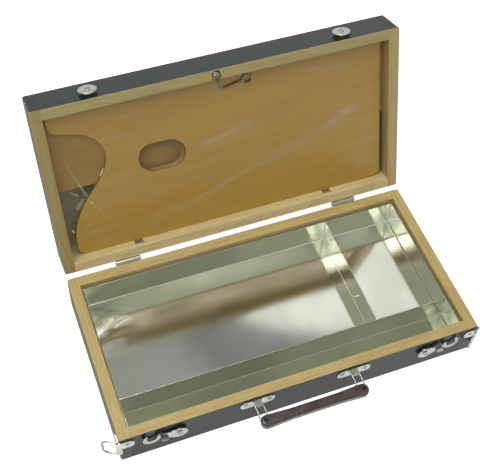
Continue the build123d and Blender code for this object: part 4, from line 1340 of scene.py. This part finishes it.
@dataclass
class Fittings(Assembly):
    """Hinges, hooks, brackets, rings and the handle."""

    hinge_x: float = 0.130
    hinge_pitch: float = 0.015
    hinge_drop: float = 0.0095
    hinge_face: float = 0.1012
    plate_x: float = 0.054
    plate_pitch: float = 0.026
    plate_z: float = 0.0345
    plate_face: float = -0.101
    bracket_face: float = 0.0012    # of the brackets, out from the box
    bracket_side_y: float = -0.092
    bracket_front_x: float = 0.192
    bracket_z: float = 0.0337
    turn_hook_at: tuple[float, float, float] = (-0.0078, -0.0944, 0.0468)
    catch_x: float = 0.1378
    hook_z: float = 0.0285
    catch_z: float = 0.0585
    hook_seat: float = -0.1034
    catch_seat: float = -0.1039

    def build(self) -> None:
        """Dress the metal parts and put the screws and rivets in."""
        pairs = {"hinge_base_leaf": Finishes.hinge, "hinge_lid_leaf": Finishes.hinge,
                 "hinge_pin": Finishes.steel, "handle_plate": Finishes.plate,
                 "corner_bracket": Finishes.plate, "catch_spacer": Finishes.plate,
                 "catch_disc": Finishes.plate, "side_hook": Finishes.hook, "handle_loop": Finishes.wire,
                 "strap_ring": Finishes.wire}
        for name, finish in pairs.items():
            self.coat(finish, name + "_left", name + "_right")
        self.coat(Finishes.keeper, "turn_hook")
        self.coat(Finishes.recess, "handle_eyelets")
        self.coat(Finishes.plate, "hook_washers")
        self.coat(Finishes.grip, "handle_grip")
        self.screws()
        self.rivets()

    def set_in(self, model: Piece, node: str, body: str, slot: str, places: Sequence[Matrix]) -> None:
        """Copy a fastener to its places, as one piece that stands for a CAD node.

        Args:
            model: The fastener, at the origin.
            node: The CAD node.
            body: CAD body that it rides on.
            slot: The record's material slot.
            places: Where each copy goes, with the lid shut.
        """
        rest = SHUT_TO_OPEN if body == "lid" else Matrix.Identity(4)
        copies = [Bench.copy(model, "copy", rest @ place) for place in places]
        self.hang(Bench.join(node + "_detailed", copies), body, Finishes.plate, slot, (node,))

    @staticmethod
    def pairs(middle: float, pitch: float) -> list[float]:
        """X of two fasteners, a pitch apart, on each side of the box."""
        return [side * middle + step * pitch / 2 for side in (-1, 1) for step in (-1, 1)]

    def screws(self) -> None:
        """Screws of the hinges, the handle plates, the brackets and the turn hook."""
        small = Screw(0.0024, 0.0009, 0.0012, 0.0082)
        dark, bright = small.model(Finishes.steel), small.model(Finishes.plate)
        keeper = Screw(0.003, 0.0016, 0.0012, 0.0096, slot=0.0007, reach=0.0017).model(Finishes.steel)
        for body, drop in (("base", -self.hinge_drop), ("lid", self.hinge_drop)):
            self.set_in(dark, "hinge_screws_" + body, body, "dark_steel",
                        [Facing.BACK.at(x, self.hinge_face, HINGE_Z + drop)
                         for x in self.pairs(self.hinge_x, self.hinge_pitch)])
        self.set_in(bright, "handle_plate_screws", "base", "nickel_plate",
                    [Facing.FRONT.at(x, self.plate_face, self.plate_z)
                     for x in self.pairs(self.plate_x, self.plate_pitch)])
        side_x, front_y = BOX_HALF_X + self.bracket_face, -BOX_HALF_Y - self.bracket_face
        self.set_in(bright, "bracket_screws", "base", "nickel_plate",
                    [Facing.LEFT.at(-side_x, self.bracket_side_y, self.bracket_z),
                     Facing.RIGHT.at(side_x, self.bracket_side_y, self.bracket_z),
                     Facing.FRONT.at(-self.bracket_front_x, front_y, self.bracket_z),
                     Facing.FRONT.at(self.bracket_front_x, front_y, self.bracket_z)])
        self.set_in(keeper, "turn_hook_screw", "lid", "dark_steel", [Facing.DOWN.at(*self.turn_hook_at)])
        Bench.drop(dark, bright, keeper)

    def rivets(self) -> None:
        """Rivets of the side hooks and the catch studs."""
        for node, body, seat, z, length in (("hook_rivets", "base", self.hook_seat, self.hook_z, 0.0104),
                                            ("catch_rivets", "lid", self.catch_seat, self.catch_z, 0.0109)):
            model = Rivet(0.0028, 0.0012, 0.0016, length).model(Finishes.plate)
            self.set_in(model, node, body, "nickel_plate",
                        [Facing.FRONT.at(side * self.catch_x, seat, z) for side in (-1, 1)])
            Bench.drop(model)


# ---------------------------------------------------------------- studio

@dataclass(frozen=True)
class Card:
    """Soft-edged rectangle of the room above the box."""

    paint: Colour
    left: float
    right: float
    near: float
    far: float
    soft: float

    def level(self, x: Field, y: Field) -> Field:
        """Level that is 1 inside the card."""
        return x.within(self.left, self.right, self.soft) * y.within(self.near, self.far, self.soft)


@dataclass
class Studio:
    """Plain pale floor, soft light and the camera."""

    floor_size: float = 14.0
    floor_drop: float = 0.0004      # below the box
    card_height: float = 1.5
    card_size: float = 5.0
    lamp_power: float = 36.0
    lens: float = 70.466
    eye: tuple[float, float, float] = (-0.2617276, -0.5054681, 0.9385610)
    aim: tuple[float, float, float] = (36.047, -2.731, -20.724)     # degrees about X, Y and Z
    plain: Colour = (0.6, 0.62, 0.55)
    back_wall: float = 0.55     # where the room's far part starts
    cards: tuple[Card, ...] = (
        Card((0.95, 0.95, 0.93), -0.6, 2.7, -0.35, 0.52, 0.1),
        Card((0.36, 0.375, 0.355), -2.7, 2.7, 0.55, 2.7, 0.08),
        Card((0.48, 0.49, 0.37), -2.7, -0.36, 0.55, 2.7, 0.05),
        Card((1.1, 1.1, 0.98), -0.37, -0.25, 0.6, 1.4, 0.03),
        Card((0.32, 0.33, 0.26), -0.1, 0.42, -0.98, -0.4, 0.06),
        Card((0.46, 0.475, 0.38), 0.42, 2.7, -0.98, -0.4, 0.06),
        Card((1.05, 1.09, 0.90), 0.06, 0.58, -1.08, -0.96, 0.02),
        Card((0.70, 0.72, 0.60), 0.58, 2.7, -1.08, -0.96, 0.02),
        Card((0.30, 0.30, 0.225), -2.7, 2.7, -2.7, -1.08, 0.02),
        Card((0.48, 0.50, 0.36), -0.1, 0.1, -0.92, -0.75, 0.04),
        Card((0.85, 0.87, 0.75), -2.7, -0.1, -2.7, -0.4, 0.05))
    blotched: Card = Card((3.9, 3.9, 3.744), -0.66, -0.36, -1.02, -0.72, 0.05)
    window: Card = Card((14.0, 14.0, 13.44), -0.78, -0.02, 0.08, 0.47, 0.05)

    def build(self) -> None:
        """Set up the floor, the reflected cards, the lamps, the world and the camera."""
        self.floor()
        self.ceiling()
        self.lamps()
        self.world()
        self.camera()

    @staticmethod
    def plane(name: str, size: float, height: float, made: bpy.types.Material) -> Piece:
        """Flat square that only stages the box.

        Args:
            name: Name of the piece.
            size: Length of its sides.
            height: Its height.
            made: Its material.

        Returns:
            The square.
        """
        Bench.clear()
        bpy.ops.mesh.primitive_plane_add(size=size)
        piece = Bench.settle(Bench.named(name), Matrix.Translation((0, 0, height)))
        piece.data.materials.append(made)
        return piece

    def floor(self) -> None:
        """Pale floor that looks white and keeps a faint shadow."""
        made, graph = Graph.paint("studio_floor_paint")
        graph.show("BsdfPrincipled", {"Base Color": (0.72, 0.72, 0.72), "Roughness": 0.9,
                                      "Emission Color": (1, 1, 1), "Specular IOR Level": 0.0,
                                      "Emission Strength": graph.seen() * 0.9})
        self.plane("studio_floor", self.floor_size, -self.floor_drop, made)

    def ceiling(self) -> None:
        """Room above the box, which only its metal and gloss show."""
        made, graph = Graph.paint("studio_ceiling_paint")
        x, y = graph.parts(graph.place())[:2]
        colour: Value = self.plain
        for card in self.cards:
            colour = graph.mix(card.level(x, y), colour, card.paint)
        far = y.ease(self.back_wall - 0.05, self.back_wall + 0.05)
        dark = (x + y * 0.4).ease(0.52, 0.64) * far
        colour = graph.mix(dark, colour, (0.15, 0.16, 0.165))
        turned = graph.stretch(graph.stretch(graph.place(), (1, 1, 1), (0, 0, 1.19)), (2.2, 13, 1))
        streaks = graph.noise(turned, 1.0, 2.0, 0.5).ease(0.34, 0.66)
        colour = graph.mix(streaks * (far * 0.42), colour, (0.42, 0.43, 0.46))
        nearer = (1.05 - y).higher(-0.06)
        beyond = x - (nearer * (nearer * 4.0 + 0.5) + 0.315)
        white = graph.mix(x.ease(0.75, 1.0), (1.06, 1.09, 1.03), (0.92, 0.95, 0.87))
        colour = graph.mix(beyond.ease(-0.035, 0.035) * far, colour, white)
        blotch = graph.noise(graph.place(), 17.0, 3.0, 0.6, 0.6).ease(0.42, 0.6, 0.15, 1.0)
        colour = graph.mix(self.blotched.level(x, y) * blotch, colour, self.blotched.paint)
        colour = graph.mix(self.window.level(x, y), colour, self.window.paint)
        graph.show("Emission", {"Color": colour, "Strength": 1.0})
        card = self.plane("studio_ceiling", self.card_size, self.card_height, made)
        card.visible_camera = card.visible_diffuse = card.visible_shadow = False
        card.visible_transmission = card.visible_volume_scatter = False

    def lamps(self) -> None:
        """One large soft lamp overhead and a weaker one from the left front."""
        for name, place, aim, size, power in (
                ("lamp_overhead", (-0.3, -0.2, 2.3), (0, 0.02, 0), 2.2, self.lamp_power),
                ("lamp_front", (-1.6, -1.9, 1.5), (0, 0.05, 0.1), 1.4, self.lamp_power * 0.07)):
            data = bpy.data.lights.new(name, "AREA")
            data.shape = "SQUARE"
            data.size = size
            data.energy = power
            lamp = bpy.data.objects.new(name, data)
            bpy.context.scene.collection.objects.link(lamp)
            lamp.location = place
            lamp.rotation_euler = (Vector(aim) - Vector(place)).to_track_quat("-Z", "Y").to_euler()
            lamp.visible_glossy = False

    def world(self) -> None:
        """White surroundings, at full strength only where they are seen."""
        world = bpy.data.worlds.new("studio")
        bpy.context.scene.world = world
        world.use_nodes = True
        world.node_tree.nodes.clear()
        graph = Graph(world.node_tree)
        graph.show("Background", {"Color": (1, 1, 1), "Strength": graph.seen() * 0.64 + 0.36}, "OutputWorld")

    def camera(self) -> None:
        """Camera at the left front, looking down into the open box."""
        data = bpy.data.cameras.new("camera")
        data.sensor_fit = "HORIZONTAL"
        data.sensor_width = 36.0
        data.lens = self.lens
        data.clip_start = 0.05
        data.dof.use_dof = False
        camera = bpy.data.objects.new("camera", data)
        bpy.context.scene.collection.objects.link(camera)
        camera.location = self.eye
        camera.rotation_euler = [math.radians(angle) for angle in self.aim]
        bpy.context.scene.camera = camera
        bpy.context.scene.view_settings.view_transform = "Standard"


def main() -> None:
    """Build the studio and the sub-assemblies in order, and log each sub-assembly as it is dressed."""
    logging.basicConfig(level=logging.INFO, format="%(message)s")
    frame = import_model()
    nodes = frame["nodes"]
    Studio().build()
    for assembly in (Frames(nodes), Tray(nodes), LidContents(nodes), Fittings(nodes)):
        assembly.build()
        LOG.info("%s dressed", type(assembly).__name__)
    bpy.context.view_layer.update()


if __name__ == "__main__":
    main()
